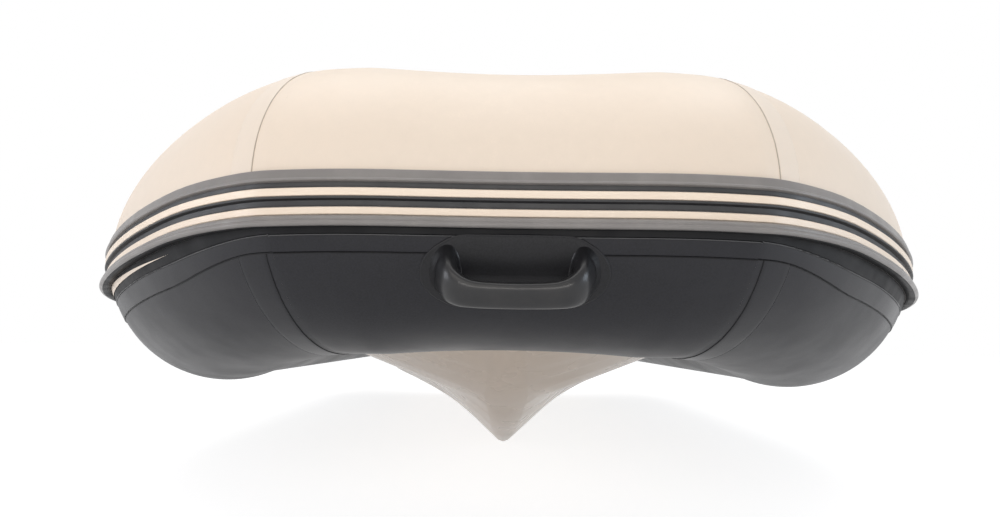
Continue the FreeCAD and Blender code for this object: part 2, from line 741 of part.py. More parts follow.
for name, y_expression in (
    ("motor_pad_outer", TRANSOM_FACE),
    ("motor_pad_inner", TRANSOM_FACE + " - Sizes.transom_thickness - Sizes.motor_pad_thickness"),
):
    plate = doc.addObject("Part::Box", name.title().replace("_", ""))
    bind(
        plate,
        Length="2 * Sizes.motor_pad_half_width",
        Width="Sizes.motor_pad_thickness",
        Height="Sizes.motor_pad_height",
        Placement__Base__x="-Sizes.motor_pad_half_width",
        Placement__Base__y=y_expression,
        Placement__Base__z="Sizes.motor_cutout_height - Sizes.motor_pad_height",
    )
    finish(plate, name)

# Bow locker: a moulded box between the tubes with a hinged lid
locker_front_y = bow_axis_y + size("tube_radius") + size("locker_gap")
locker_back_y = bow_axis_y + size("well_front")
lid_low = size("locker_top") + size("lid_seal")
hinge_y = locker_front_y + size("hinge_radius")
hinge_z = lid_low + size("hinge_radius")


def locker_outline(height, inset, front=0):
    """Plan of the locker, inset by a distance; front moves its forward edge aft."""
    half_points = [
        (size("locker_half_width_fore") - inset, locker_front_y + front),
        (size("locker_half_width_aft") - inset, locker_back_y - inset),
    ]
    port = [V(x, y, height) for x, y in half_points]
    starboard = [V(-p.x, p.y, p.z) for p in reversed(port)]
    return Part.makePolygon(port + starboard + port[:1])


wall = size("locker_wall")
locker_base = prism(
    "LockerBlock",
    locker_outline(size("rim_height"), 0),
    size("locker_top") - size("rim_height"),
)
locker_hollow = prism(
    "LockerHollow",
    locker_outline(size("rim_height") + wall, wall, wall + 6),
    size("locker_top"),
)
finish(cut("BowLocker", locker_base, locker_hollow), "bow_locker")

lid_start = 2 * size("hinge_radius") + 2
lid = prism(
    "LockerLid",
    locker_outline(lid_low, -size("lid_overhang"), lid_start),
    size("lid_thickness"),
)
finish(lid, "bow_locker_lid")

# Lid hinges: each has a knuckle on the lid between two knuckles on the locker, round one pin


def barrel(name, x, length, radius):
    """Cylinder along the hinge line, centred at x."""
    rod = doc.addObject("Part::Cylinder", name)
    rod.Radius = radius
    rod.Height = length
    rod.Placement = FreeCAD.Placement(
        V(x - length / 2, hinge_y, hinge_z), FreeCAD.Rotation(V(0, 1, 0), 90))
    return rod


def block(name, low, high):
    """Box between two corners."""
    box = doc.addObject("Part::Box", name)
    box.Length = high.x - low.x
    box.Width = high.y - low.y
    box.Height = high.z - low.z
    box.Placement.Base = low
    return box


knuckle = size("hinge_knuckle")
pitch = knuckle + size("hinge_knuckle_gap")
radius = size("hinge_radius")
lid_leaves = []
locker_leaves = []
for side, label in ((-1, "Starboard"), (1, "Port")):
    x = side * size("hinge_spread")
    bore = size("hinge_pin_radius") + size("hinge_pin_clearance")
    eye = barrel("LidKnuckle" + label, x, knuckle, radius)
    strap = block(
        "LidStrap" + label,
        V(x - knuckle / 2, hinge_y, lid_low),
        V(x + knuckle / 2, locker_front_y + lid_start, lid_low + 3),
    )
    eye_bore = barrel("LidBore" + label, x, knuckle + 2, bore)
    lid_leaves.append(cut("LidLeaf" + label, fuse("LidLeafBlank" + label, eye, strap), eye_bore))
    pieces = [barrel("HingePin" + label, x, 3 * knuckle, size("hinge_pin_radius"))]
    for hand in (-1, 1):
        centre = x + hand * pitch
        tag = label + ("A" if hand < 0 else "B")
        pieces.append(barrel("LockerKnuckle" + tag, centre, knuckle, radius))
        pieces.append(block(
            "LockerStrap" + tag,
            V(centre - knuckle / 2, hinge_y - radius, size("locker_top")),
            V(centre + knuckle / 2, hinge_y + radius, hinge_z),
        ))
    locker_leaves.append(fuse("LockerLeaf" + label, *pieces))
lid_hinges = doc.addObject("Part::Compound", "LidHinges")
lid_hinges.Links = lid_leaves
finish(lid_hinges, "lid_hinge_leaves")
locker_hinges = doc.addObject("Part::Compound", "LockerHinges")
locker_hinges.Links = locker_leaves
finish(locker_hinges, "locker_hinge_leaves")

# Thwart seat: a board between the tubes, its ends in rubber holders bonded to them
seat_depth = size("seat_underside") - side_axis_height
seat_half = side_x - math.sqrt(size("tube_radius") ** 2 - seat_depth ** 2) - size("seat_end_gap")
seat = doc.addObject("Part::Box", "ThwartSeat")
seat.Length = 2 * seat_half
bind(
    seat,
    Width="Sizes.seat_width",
    Height="Sizes.seat_thickness",
    Placement__Base__x=str(-seat_half),
    Placement__Base__y="Sizes.seat_forward",
    Placement__Base__z="Sizes.seat_underside",
)
finish(seat, "thwart_seat")
holder_block = doc.addObject("Part::Box", "SeatHolderBlock")
bind(
    holder_block,
    Length=str(side_x - seat_half + size("seat_grip")),
    Width="Sizes.seat_width + 2 * Sizes.seat_holder_wall",
    Height="Sizes.seat_thickness + 2 * Sizes.seat_holder_wall",
    Placement__Base__x=str(seat_half - size("seat_grip")),
    Placement__Base__y="Sizes.seat_forward - Sizes.seat_holder_wall",
    Placement__Base__z="Sizes.seat_underside - Sizes.seat_holder_wall",
)
holder_slot = doc.addObject("Part::Box", "SeatHolderSlot")
bind(
    holder_slot,
    Length=str(2 * (seat_half + size("seat_play"))),
    Width="Sizes.seat_width + 2 * Sizes.seat_play",
    Height="Sizes.seat_thickness + 2 * Sizes.fit_gap",
    Placement__Base__x=str(-seat_half - size("seat_play")),
    Placement__Base__y="Sizes.seat_forward - Sizes.seat_play",
    Placement__Base__z="Sizes.seat_underside - Sizes.fit_gap",
)
holder_tools = doc.addObject("Part::Compound", "SeatHolderTools")
holder_tools.Links = [holder_slot, side_seat]
pair("seat_holder_%s", cut("SeatHolder", holder_block, holder_tools))

# Carrying handles: a rubber loop on a rounded patch, one at the bow and one on each quarter
patch_thickness = size("patch_thickness")
bow_patch = bow_envelope("BowPatch", patch_thickness)
bow_foot = bow_envelope("BowFoot", patch_thickness + size("fit_gap"))
side_patch = side_envelope("SidePatch", "Sizes.patch_thickness")
side_foot = side_envelope("SideFoot", "Sizes.patch_thickness + Sizes.fit_gap")


def handle_frame(centre, outward_heading, below):
    """Placement on a tube: X along the tube, Y up its side, Z away from its surface."""
    level = FreeCAD.Rotation(V(0, 0, 1), outward_heading)
    tilt = FreeCAD.Rotation(V(1, 0, 0), 90 + below)
    return FreeCAD.Placement(centre, level * tilt)


def handle_pieces(name, frame, tube_radius, seat_shape, patch_shape, foot_shape):
    """Patch and loop of one handle, seated on a tube of this radius."""
    length, height = size("patch_length"), size("patch_height")
    end = height / 2
    flat = length / 2 - end
    corners = (V(-flat, -end, 0), V(flat, -end, 0), V(flat, end, 0), V(-flat, end, 0))
    edges = [
        Part.LineSegment(corners[0], corners[1]).toShape(),
        Part.Arc(corners[1], V(length / 2, 0, 0), corners[2]).toShape(),
        Part.LineSegment(corners[2], corners[3]).toShape(),
        Part.Arc(corners[3], V(-length / 2, 0, 0), corners[0]).toShape(),
    ]
    disc = Part.Face(Part.Wire(edges)).extrude(V(0, 0, tube_radius * 1.5))
    disc.Placement = frame
    patch_blank = doc.addObject("Part::Common", name + "PatchBlank")
    patch_blank.Base = shape_object(name + "PatchPrism", disc)
    patch_blank.Tool = patch_shape
    patch = cut(name + "Patch", patch_blank, seat_shape)

    span, reach, bend = size("handle_span") / 2, size("handle_reach"), size("handle_corner")
    base_z = tube_radius - 18
    bar_z = tube_radius + reach
    leg = bar_z - bend
    diagonal = bend * math.sqrt(0.5)
    loop = Part.Wire([
        Part.LineSegment(V(-span, 0, base_z), V(-span, 0, leg)).toShape(),
        Part.Arc(
            V(-span, 0, leg),
            V(-span + bend - diagonal, 0, leg + diagonal),
            V(-span + bend, 0, bar_z),
        ).toShape(),
        Part.LineSegment(V(-span + bend, 0, bar_z), V(span - bend, 0, bar_z)).toShape(),
        Part.Arc(
            V(span - bend, 0, bar_z),
            V(span - bend + diagonal, 0, leg + diagonal),
            V(span, 0, leg),
        ).toShape(),
        Part.LineSegment(V(span, 0, leg), V(span, 0, base_z)).toShape(),
    ])
    path = shape_object(name + "Path", loop)
    bar = doc.addObject("Part::Ellipse", name + "Section")
    bind(bar, MajorRadius="Sizes.handle_half_height", MinorRadius="Sizes.handle_half_depth")
    bar.Placement = FreeCAD.Placement(V(-span, 0, base_z), FreeCAD.Rotation(V(0, 0, 1), 90))
    sweep = doc.addObject("Part::Sweep", name + "Sweep")
    sweep.Sections = [bar]
    sweep.Spine = (path, ["Edge%d" % i for i in range(1, 6)])
    sweep.Solid = True
    sweep.Frenet = False
    sweep.Placement = frame
    return patch, cut(name + "Loop", sweep, foot_shape)




def angle_below_strake(radius, drop, gap):
    """Degrees below the axis of a handle whose patch lies a gap below the strake."""
    strake_foot = math.degrees(math.asin((drop + size("strake_half_height")) / radius))
    return strake_foot + math.degrees((gap + size("patch_height") / 2) / radius)


bow_angle = angle_below_strake(
    bow_radius, size("strake_drop_bow"), size("handle_below"))
side_angle = angle_below_strake(
    size("tube_radius"), size("strake_drop_side"), size("side_handle_below"))
bow_centre = V(0, bow_axis_y, size("bow_axis_height"))
patch, loop = handle_pieces(
    "BowHandle", handle_frame(bow_centre, 0, bow_angle), bow_radius,
    bow_seat, bow_patch, bow_foot)
finish(patch, "bow_handle_patch")
finish(loop, "bow_handle")
quarter_centre = V(side_x, cone_start - size("side_handle_ahead"), side_axis_height)
patch, loop = handle_pieces(
    "SideHandle", handle_frame(quarter_centre, 90, side_angle), size("tube_radius"),
    side_seat, side_patch, side_foot)
pair("side_handle_patch_%s", patch)
pair("side_handle_%s", loop)

# Air valves on the inboard faces of the three chambers
for label, place, outward in (
    ("bow", V(0, bow_axis_y, size("bow_axis_height")), V(0, 1, 1.1)),
    ("port", V(side_x, cone_start - size("valve_ahead"), side_axis_height), V(-1, 0, 0.45)),
):
    axis = unit(outward)
    cap = doc.addObject("Part::Cylinder", "Valve" + label.title())
    bind(cap, Radius="Sizes.valve_radius")
    tube = bow_radius if label == "bow" else size("tube_radius")
    cap.Height = size("valve_height") + 10
    cap.Placement = FreeCAD.Placement(place + axis * (tube - 10), FreeCAD.Rotation(UP, axis))
    seated = cut("AirValve" + label.title(), cap, bow_seat if label == "bow" else side_seat)
    if label == "bow":
        finish(seated, "air_valve_bow")
    else:
        pair("air_valve_%s", seated)

# Rowlocks: rubber blocks on the tubes with an upright pin
rowlock_base = size("rowlock_rise") + size("rowlock_width") / 4
tube_top = side_axis_height + size("tube_radius")
rowlock_pad = doc.addObject("Part::Box", "RowlockPad")
rowlock_pad.Height = rowlock_base
bind(
    rowlock_pad,
    Length="Sizes.rowlock_width",
    Width="Sizes.rowlock_length",
    Placement__Base__x=str(side_x - size("rowlock_width") / 2),
    Placement__Base__y="Sizes.rowlock_aft - Sizes.rowlock_length / 2",
    Placement__Base__z=str(tube_top + size("rowlock_rise") - rowlock_base),
)
rowlock_pin = doc.addObject("Part::Cylinder", "RowlockPin")
bind(
    rowlock_pin,
    Radius="Sizes.rowlock_pin_radius",
    Height="Sizes.rowlock_rise / 2 + Sizes.rowlock_pin_rise",
)
rowlock_pin.Placement.Base = V(side_x, size("rowlock_aft"), tube_top + size("rowlock_rise") / 2)
pair("rowlock_%s", cut("Rowlock", fuse("RowlockBlank", rowlock_pad, rowlock_pin), side_seat))

# Lifting eyes on the transom's inner face, and the self-bailing drain through its foot
eye_ring = doc.addObject("Part::Torus", "LiftingEyeRing")
bind(eye_ring, Radius1="Sizes.eye_radius", Radius2="Sizes.eye_wire")
eye_ring.Angle3 = 180
eye_ring.Placement = FreeCAD.Placement(
    V(size("eye_spread"), transom_front, size("transom_top") - size("eye_height")),
    FreeCAD.Rotation(V(0, 1, 0), 90) * FreeCAD.Rotation(V(0, 0, 1), 180))
pair("lifting_eye_%s", eye_ring)

drain = doc.addObject("Part::Cylinder", "Drain")
bind(drain, Radius="Sizes.drain_radius")
drain.Height = size("drain_depth")
drain.Placement = FreeCAD.Placement(
    V(0, transom_face, size("drain_height")), FreeCAD.Rotation(V(1, 0, 0), -90))
finish(drain, "drain_flange")

doc.recompute()

failed = [o.Label for o in doc.Objects if "Invalid" in o.State or "Error" in o.State]
if failed:
    raise RuntimeError("failed objects: " + ", ".join(failed))
for node in nodes:
    if node.Shape.isNull() or not node.Shape.isValid():
        raise RuntimeError("bad shape: " + node.Label)

os.makedirs("parts", exist_ok=True)
for node in nodes:
    node.Shape.exportStep("parts/%s.step" % node.Label)
    print("%-28s %10.0f cm3 %d solids" % (node.Label, node.Shape.Volume / 1000, len(node.Shape.Solids)))
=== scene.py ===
import bmesh
import bpy
import json
import math
from mathutils import Matrix, Vector


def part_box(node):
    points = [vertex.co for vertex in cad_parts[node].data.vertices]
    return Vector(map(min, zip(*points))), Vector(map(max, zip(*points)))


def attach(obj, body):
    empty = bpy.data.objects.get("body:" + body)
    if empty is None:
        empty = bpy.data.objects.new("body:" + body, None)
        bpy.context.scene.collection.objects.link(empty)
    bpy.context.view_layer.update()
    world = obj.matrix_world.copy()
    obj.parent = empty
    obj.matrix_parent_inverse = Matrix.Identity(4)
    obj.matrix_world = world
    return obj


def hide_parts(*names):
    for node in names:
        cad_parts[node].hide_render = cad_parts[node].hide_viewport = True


# Inflatable tender with a rigid hull: metres, bow towards -Y, port towards +X, up +Z

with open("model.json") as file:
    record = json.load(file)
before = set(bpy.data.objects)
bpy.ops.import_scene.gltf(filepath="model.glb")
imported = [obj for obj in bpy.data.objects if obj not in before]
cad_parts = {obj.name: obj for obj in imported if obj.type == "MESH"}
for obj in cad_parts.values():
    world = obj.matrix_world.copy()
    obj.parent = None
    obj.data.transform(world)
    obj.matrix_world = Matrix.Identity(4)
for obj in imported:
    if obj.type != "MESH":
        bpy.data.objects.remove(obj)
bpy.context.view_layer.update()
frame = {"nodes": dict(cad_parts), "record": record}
nodes = frame["nodes"]
scene = bpy.context.scene
UP = Vector((0, 0, 1))

# Sizes of the tubes, as in the solids; headings are degrees from straight across the bow
BOW_Y, BOW_Z = -1.492, 0.320
BOW_RADIUS, TUBE_RADIUS = 0.208, 0.216
STRAIGHT_HALF, WAIST_HALF = 0.150, 0.190
SHEER_DROP, SHEER_LENGTH, SHEER_POWER = 0.072, 0.225, 1.5
DROP_BOW, DROP_SIDE = 0.018, 0.021
BEND, MITRE, SHOULDER, FLANK, SIDE = 9, 26, 40, 69, 90
BEND_RADIUS = 0.650
ARCS = ((MITRE, SHOULDER, 0.450), (SHOULDER, FLANK, 0.712), (FLANK, SIDE, 1.500))
CONE_START, CONE_END, CONE_RISE = 1.300, 1.700, 0.040
STRAKE_END = CONE_START - 0.060

# Helpers for meshes

SAME_POINT = 1e-5
FLAT_ANGLE, BEVEL_ANGLE, SHARP_ANGLE = (math.radians(a) for a in (1, 35, 38))
BEVEL_STEPS = 3
OFF_AXIS = Vector((0.31, 0.9, 0.2))
CURVE_STEPS = 6
CORNER_STEPS = 3


def mesh_piece(name, points, faces, material, slot, replaced=(), body="boat"):
    """A smooth mesh that rides on a body, takes the given finish and may stand for solids; the slot
    is not used.
    """
    mesh = bpy.data.meshes.new(name)
    mesh.from_pydata([tuple(p) for p in points], [], faces)
    mesh.validate()
    for polygon in mesh.polygons:
        polygon.use_smooth = True
    obj = bpy.data.objects.new(name, mesh)
    scene.collection.objects.link(obj)
    mesh.materials.append(material)
    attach(obj, body)
    if replaced:
        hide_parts(*replaced)
    return obj


def grid(rows, closed=False):
    """Points and faces of a surface through rows of points; closed joins each row's ends."""
    width = len(rows[0])
    points = [p for row in rows for p in row]
    faces = []
    for i in range(len(rows) - 1):
        for j in range(width if closed else width - 1):
            k = (j + 1) % width
            a, b = i * width, (i + 1) * width
            faces.append((a + j, b + j, b + k, a + k))
    return points, faces


def capped(rows):
    """A closed tube through closed rows, with a flat face at each end."""
    points, faces = grid(rows, closed=True)
    width = len(rows[0])
    last = (len(rows) - 1) * width
    faces.append(tuple(range(width)))
    faces.append(tuple(last + j for j in reversed(range(width))))
    return points, faces


def reflected(rows):
    """The starboard copy of port rows, in reverse order so that faces keep facing out."""
    return [[Vector((-p.x, p.y, p.z)) for p in row] for row in reversed(rows)]


def both_sides(name, rows, mat, slot):
    """A surface on the port side and its reflection to starboard."""
    mesh_piece(name + "_port", *grid(rows), mat, slot)
    mesh_piece(name + "_starboard", *grid(reflected(rows)), mat, slot)


def rounded_copy(name, width, material, slot, body="boat"):
    """A solid of the part in place of the plain one, its sharp edges rounded by a width."""
    shape = bmesh.new()
    shape.from_mesh(nodes[name].data)
    bmesh.ops.remove_doubles(shape, verts=shape.verts, dist=SAME_POINT)
    if width:
        bmesh.ops.dissolve_limit(shape, angle_limit=FLAT_ANGLE, verts=shape.verts,
                                 edges=shape.edges)
        sharp = [e for e in shape.edges if e.is_manifold and e.calc_face_angle() > BEVEL_ANGLE]
        bmesh.ops.bevel(shape, geom=sharp, offset=width, offset_type="OFFSET",
                        segments=BEVEL_STEPS, profile=0.5, affect="EDGES", clamp_overlap=True)
    bmesh.ops.recalc_face_normals(shape, faces=shape.faces)
    points = [v.co.copy() for v in shape.verts]
    shape.verts.index_update()
    faces = [[v.index for v in f.verts] for f in shape.faces]
    shape.free()
    obj = mesh_piece(name + "_rounded", points, faces, material, slot, [name], body)
    obj.data.set_sharp_from_angle(angle=SHARP_ANGLE)


def lathe(name, centre, axis, profile, material, slot, replaced=(), body="boat", count=48):
    """A turned piece: (radius, height) pairs about an axis through a centre."""
    axis = Vector(axis).normalized()
    across = axis.cross(OFF_AXIS).normalized()
    other = axis.cross(across)
    rows = []
    for radius, height in profile:
        ring = []
        for j in range(count):
            t = 2 * math.pi * j / count
            ring.append(Vector(centre) + axis * height
                        + (across * math.cos(t) + other * math.sin(t)) * radius)
        rows.append(ring)
    obj = mesh_piece(name, *grid(rows, closed=True), material, slot, replaced, body)
    obj.data.set_sharp_from_angle(angle=SHARP_ANGLE)


def smooth_path(points):
    """Points on a smooth curve through the given ones, which are plain tuples of numbers."""
    padded = [points[0], *points, points[-1]]
    result = []
    for i in range(1, len(padded) - 2):
        for step in range(CURVE_STEPS):
            t = step / CURVE_STEPS
            row = []
            for a, b, c, d in zip(*padded[i - 1:i + 3]):
                row.append(b + t * (c - a + t * (2 * a - 5 * b + 4 * c - d
                                                 + t * (3 * b - a - 3 * c + d))) / 2)
            result.append(tuple(row))
    return result + [tuple(points[-1])]


# Axis of the tubes: plan from arcs, height from the sheer's fall

NEAR_SEAM = 0.16
TINY = 0.001


def axis_point(past):
    """Port half of the axis as (x, aft, heading), at a distance past the mitre."""
    turn = math.radians(BEND)
    if past < 0:
        along = BEND_RADIUS * turn + past
        if along < 0:
            return STRAIGHT_HALF + along, 0.0, 0.0
        angle = along / BEND_RADIUS
        return (STRAIGHT_HALF + BEND_RADIUS * math.sin(angle),
                BEND_RADIUS * (1 - math.cos(angle)), math.degrees(angle))
    x = STRAIGHT_HALF + BEND_RADIUS * math.sin(turn)
    aft = BEND_RADIUS * (1 - math.cos(turn))
    for first, last, radius in ARCS:
        a, b = math.radians(first), math.radians(last)
        t = min(a + past / radius, b)
        x += radius * (math.sin(t) - math.sin(a))
        aft += radius * (math.cos(a) - math.cos(t))
        past -= radius * (b - a)
        if past < 0:
            return x, aft, math.degrees(t)
    return x, aft + past, SIDE


SEAM_TO_CENTRE = STRAIGHT_HALF + BEND_RADIUS * math.radians(BEND)
SEAM_TO_STRAIGHT = sum(radius * math.radians(last - first) for first, last, radius in ARCS)
SEAM_TO_CONE = SEAM_TO_STRAIGHT + CONE_START - BOW_Y - axis_point(SEAM_TO_STRAIGHT)[1]
STRAKE_STOP = SEAM_TO_CONE - (CONE_START - STRAKE_END)


def axis_height(aft):
    """Height of the axis at a distance aft of the bow."""
    return BOW_Z - SHEER_DROP * (1 - math.exp(-(aft / SHEER_LENGTH) ** SHEER_POWER))


class Ring:
    """Cross-section of a tube: centre, directions, radius and drop of the strake's middle."""

    def __init__(self, past, side):
        x, aft, heading = axis_point(past)
        if side == "flank":
            heading = max(heading, MITRE)
        self.past = past
        turn = min(heading / SHOULDER, 1)
        if abs(past) < TINY:
            turn = (BEND + MITRE) / 2 / SHOULDER
            x, aft, _ = axis_point(0)
            heading = MITRE if side == "flank" else BEND
        self.radius = BOW_RADIUS + (TUBE_RADIUS - BOW_RADIUS) * min(x / WAIST_HALF, 1) ** 2
        self.drop = DROP_BOW + (DROP_SIDE - DROP_BOW) * turn
        self.centre = Vector((x, BOW_Y + aft, axis_height(aft)))
        angle = math.radians(heading)
        slope = 0
        if heading < SIDE:
            slope = (axis_height(aft) - axis_height(aft + TINY)) / TINY
        level = Vector((math.cos(angle), math.sin(angle), 0))
        self.along = (level - UP * slope * math.sin(angle)).normalized()
        self.up = (UP - self.along * self.along.z).normalized()
        self.out = self.along.cross(self.up)

    def lean(self, normal):
        """Slant the section towards the seam's plane, more the nearer it lies."""
        share = max(1 - abs(self.past) / NEAR_SEAM, 0)
        facing = self.along.dot(normal)
        self.out = self.out - self.along * (self.out.dot(normal) / facing * share)
        self.up = self.up - self.along * (self.up.dot(normal) / facing * share)
        return self

    def at(self, angle, extra=0.0):
        """Point round the tube: 0 faces outboard, a right angle faces up."""
        r = self.radius + extra
        return self.centre + self.out * (r * math.cos(angle)) + self.up * (r * math.sin(angle))

    def split(self):
        """Angle of the strake's middle, where the upper panel meets the lower one."""
        return math.asin(-self.drop / self.radius)


SEAM_NORMAL = (Ring(0.0, "bow").along + Ring(0.0, "flank").along).normalized()


def ring_at(past, side=None):
    """Section at a distance past the seam, slanted where it lies near the seam."""
    return Ring(past, side or ("bow" if past < 0 else "flank")).lean(SEAM_NORMAL)


FINE_REACH = 0.12
FINE, COARSE_BOW, COARSE_SIDE = 0.003, 0.012, 0.022


def distances(first, last, fine, coarse):
    """Places between two distances, close together near the seam at zero."""
    places = [first]
    while places[-1] < last:
        step = fine + (coarse - fine) * min(abs(places[-1]) / FINE_REACH, 1)
        places.append(min(places[-1] + step, last))
    if len(places) > 2 and places[-1] - places[-2] < fine / 2:
        del places[-2]
    return places


BOW_RINGS = [ring_at(s, "bow") for s in distances(-SEAM_TO_CENTRE, 0.0, FINE, COARSE_BOW)]
SIDE_RINGS = [ring_at(s, "flank") for s in distances(0.0, SEAM_TO_CONE, FINE, COARSE_SIDE)]

PINCH, PINCH_REACH = 0.0006, 0.005
PUCKER, PUCKER_REACH = 0.0003, 0.022
LONG_WAVE, SHORT_WAVE = 23, 41


def swell(ring, angle):
    """Small relief of the inflated fabric: a pinched mitre with puckers beside it."""
    away = abs(ring.past)
    near = math.exp(-away / PUCKER_REACH)
    waves = math.sin(angle * LONG_WAVE) * 0.5 + math.sin(angle * SHORT_WAVE + 1) * 0.5
    return -PINCH * math.exp(-away / PINCH_REACH) + PUCKER * near * waves


PANEL_COUNT, BAND_COUNT = 56, 8
BAND_EDGE = 0.0014
BAND_SUNK, STRIP_SUNK = 0.0004, 0.0003


def panel(rings, first, last):
    """Rows of points on the tube between two angles, given as functions of the ring."""
    rows = []
    for ring in rings:
        a, b = first(ring), last(ring)
        angles = [a + (b - a) * j / PANEL_COUNT for j in range(PANEL_COUNT + 1)]
        rows.append([ring.at(t, swell(ring, t)) for t in angles])
    return rows


def upper_first(ring):
    """Lower edge of the upper panel, outboard."""
    return ring.split()


def upper_last(ring):
    """Lower edge of the upper panel, inboard."""
    return math.pi - ring.split()


def lower_last(ring):
    """Upper edge of the lower panel, outboard, after a full turn."""
    return 2 * math.pi + ring.split()


def band(rings, first, last, lift):
    """A strip bonded round the tube between two angles, its long edges rounded down."""
    rows = []
    for ring in rings:
        a, b = first(ring), last(ring)
        edge = math.copysign(BAND_EDGE / ring.radius, b - a)
        profile = [(a, -BAND_SUNK), (a + edge * 0.2, lift * 0.75), (a + edge, lift)]
        profile += [(a + (b - a) * j / BAND_COUNT, lift) for j in range(1, BAND_COUNT)]
        profile += [(b - edge, lift), (b - edge * 0.2, lift * 0.75), (b, -BAND_SUNK)]
        rows.append([ring.at(t, extra + swell(ring, t)) for t, extra in profile])
    return rows


def strip_rows(places, first, last, lift, count=40):
    """A strip across the tube at (distance past the seam, share of its lift) places."""
    rows = []
    for past, share in places:
        ring = ring_at(past)
        rise = lift * share - STRIP_SUNK * (1 - share)
        angles = [first + (last - first) * j / count for j in range(count + 1)]
        rows.append([ring.at(t, rise + swell(ring, t)) for t in angles])
    return rows


class Mount:
    """Curved frame on a tube: X along it, Y up round it, Z away from it, in millimetres."""

    def __init__(self, past, below, mirrored=False):
        self.past = past
        self.below = math.radians(below)
        self.radius = ring_at(past).radius * 1000
        self.mirrored = mirrored

    def at(self, x, y, z):
        """Point in metres; past the centreline the tube is its own reflection."""
        past = self.past + x / 1000
        flip = self.mirrored
        if past < -SEAM_TO_CENTRE:
            past = -2 * SEAM_TO_CENTRE - past
            flip = not flip
        point = ring_at(past).at(y / self.radius - self.below, z / 1000)
        return Vector((-point.x, point.y, point.z)) if flip else point


# Materials: procedural, with constant numbers set on the shader's own sockets

MIX_A, MIX_B, MIX_RESULT = 6, 7, 2
GLOSS, LOW_GLOSS = 0.5, 0.2
PALE_FABRIC, DEEP_BLACK = 0.1, 0.015


def material(name, roughness=0.5, **sockets):
    """A new node material; returns it with its tree and shader."""
    mat = bpy.data.materials.new(name)
    mat.use_nodes = True
    tree = mat.node_tree
    shader = tree.nodes["Principled BSDF"]
    shader.inputs["Roughness"].default_value = roughness
    for key, value in sockets.items():
        shader.inputs[key.replace("_", " ")].default_value = value
    return mat, tree, shader


def node(tree, kind, **inputs):
    """A node with its sockets set by name; a socket as a value is linked."""
    made = tree.nodes.new(kind)
    for key, value in inputs.items():
        if hasattr(made, key):
            setattr(made, key, value)
            continue
        socket = made.inputs[key.replace("_", " ")]
        if isinstance(value, bpy.types.NodeSocket):
            tree.links.new(value, socket)
        else:
            socket.default_value = value
    return made


def feed(tree, shader, **outputs):
    """Link outputs to the shader's sockets, by name."""
    for key, value in outputs.items():
        tree.links.new(value, shader.inputs[key.replace("_", " ")])


def place(tree, stretch=(1, 1, 1)):
    """Object coordinates, stretched."""
    coordinates = node(tree, "ShaderNodeTexCoord").outputs["Object"]
    return node(tree, "ShaderNodeMapping", Vector=coordinates, Scale=stretch).outputs[0]


def noise(tree, scale, detail, stretch=(1, 1, 1), roughness=0.55):
    """Noise from 0 to 1."""
    made = node(tree, "ShaderNodeTexNoise", Vector=place(tree, stretch), Scale=scale,
                Detail=detail, Roughness=roughness)
    return made.outputs["Fac"]


def span(tree, value, between, onto=(0.0, 1.0)):
    """A value mapped from one range onto another, clamped."""
    made = node(tree, "ShaderNodeMapRange", Value=value, From_Min=between[0],
                From_Max=between[1], To_Min=onto[0], To_Max=onto[1])
    return made.outputs[0]


def mixed(tree, factor, a, b):
    """Mix of two colours."""
    made = tree.nodes.new("ShaderNodeMix")
    made.data_type = "RGBA"
    tree.links.new(factor, made.inputs[0])
    for index, value in ((MIX_A, a), (MIX_B, b)):
        if isinstance(value, bpy.types.NodeSocket):
            tree.links.new(value, made.inputs[index])
        else:
            made.inputs[index].default_value = (*value, 1)
    return made.outputs[MIX_RESULT]


def bumped(tree, shader, layers):
    """Bump from (height, strength, distance) layers, one over the other."""
    normal = None
    for height, strength, distance in layers:
        made = node(tree, "ShaderNodeBump", Height=height, Strength=strength, Distance=distance)
        if normal is not None:
            tree.links.new(normal, made.inputs["Normal"])
        normal = made.outputs["Normal"]
    tree.links.new(normal, shader.inputs["Normal"])


def coated_fabric(name, colour, second, roughness, coat=0.0):
    """Coated tube fabric: fine weave under the coating, soft stains, slight sheen."""
    pale = colour[0] > PALE_FABRIC
    mat, tree, shader = material(name, roughness, Coat_Weight=coat, Coat_Roughness=0.35,
                                 Specular_IOR_Level=GLOSS if pale else LOW_GLOSS)
    stains = span(tree, noise(tree, 3.2, 5), (0.35, 0.7))
    dust = span(tree, noise(tree, 60, 3), (0.3, 0.75))
    speck = span(tree, noise(tree, 420, 2), (0.35, 0.65))
    dusty = mixed(tree, dust, mixed(tree, stains, colour, second), [c * 0.94 for c in colour])
    grain = [c * (0.965 if pale else 1.5) for c in colour]
    feed(tree, shader, Base_Color=mixed(tree, speck, dusty, grain),
         Roughness=span(tree, noise(tree, 7, 4), (0.3, 0.7), (roughness - 0.07, roughness + 0.08)))
    weave = node(tree, "ShaderNodeTexVoronoi", Vector=place(tree), Scale=900.0)
    bumped(tree, shader, [
        (weave.outputs["Distance"], 0.12, 0.0004),
        (noise(tree, 9, 2), 0.35, 0.004),
    ])
    return mat


def moulded_rubber(name, colour, second, roughness, coat=0.0):
    """Moulded rubber with a fine grain and rubbed, paler patches."""
    mat, tree, shader = material(name, roughness, Coat_Weight=coat, Coat_Roughness=0.2,
                                 Specular_IOR_Level=GLOSS if colour[0] > DEEP_BLACK else LOW_GLOSS)
    rubbed = span(tree, noise(tree, 14, 6, roughness=0.65), (0.45, 0.75))
    feed(tree, shader, Base_Color=mixed(tree, rubbed, colour, second),
         Roughness=span(tree, noise(tree, 22, 3), (0.3, 0.7), (roughness - 0.06, roughness + 0.1)))
    bumped(tree, shader, [
        (noise(tree, 1400.0, 2), 0.15, 0.0005),
        (noise(tree, 25, 3), 0.2, 0.002),
    ])
    return mat


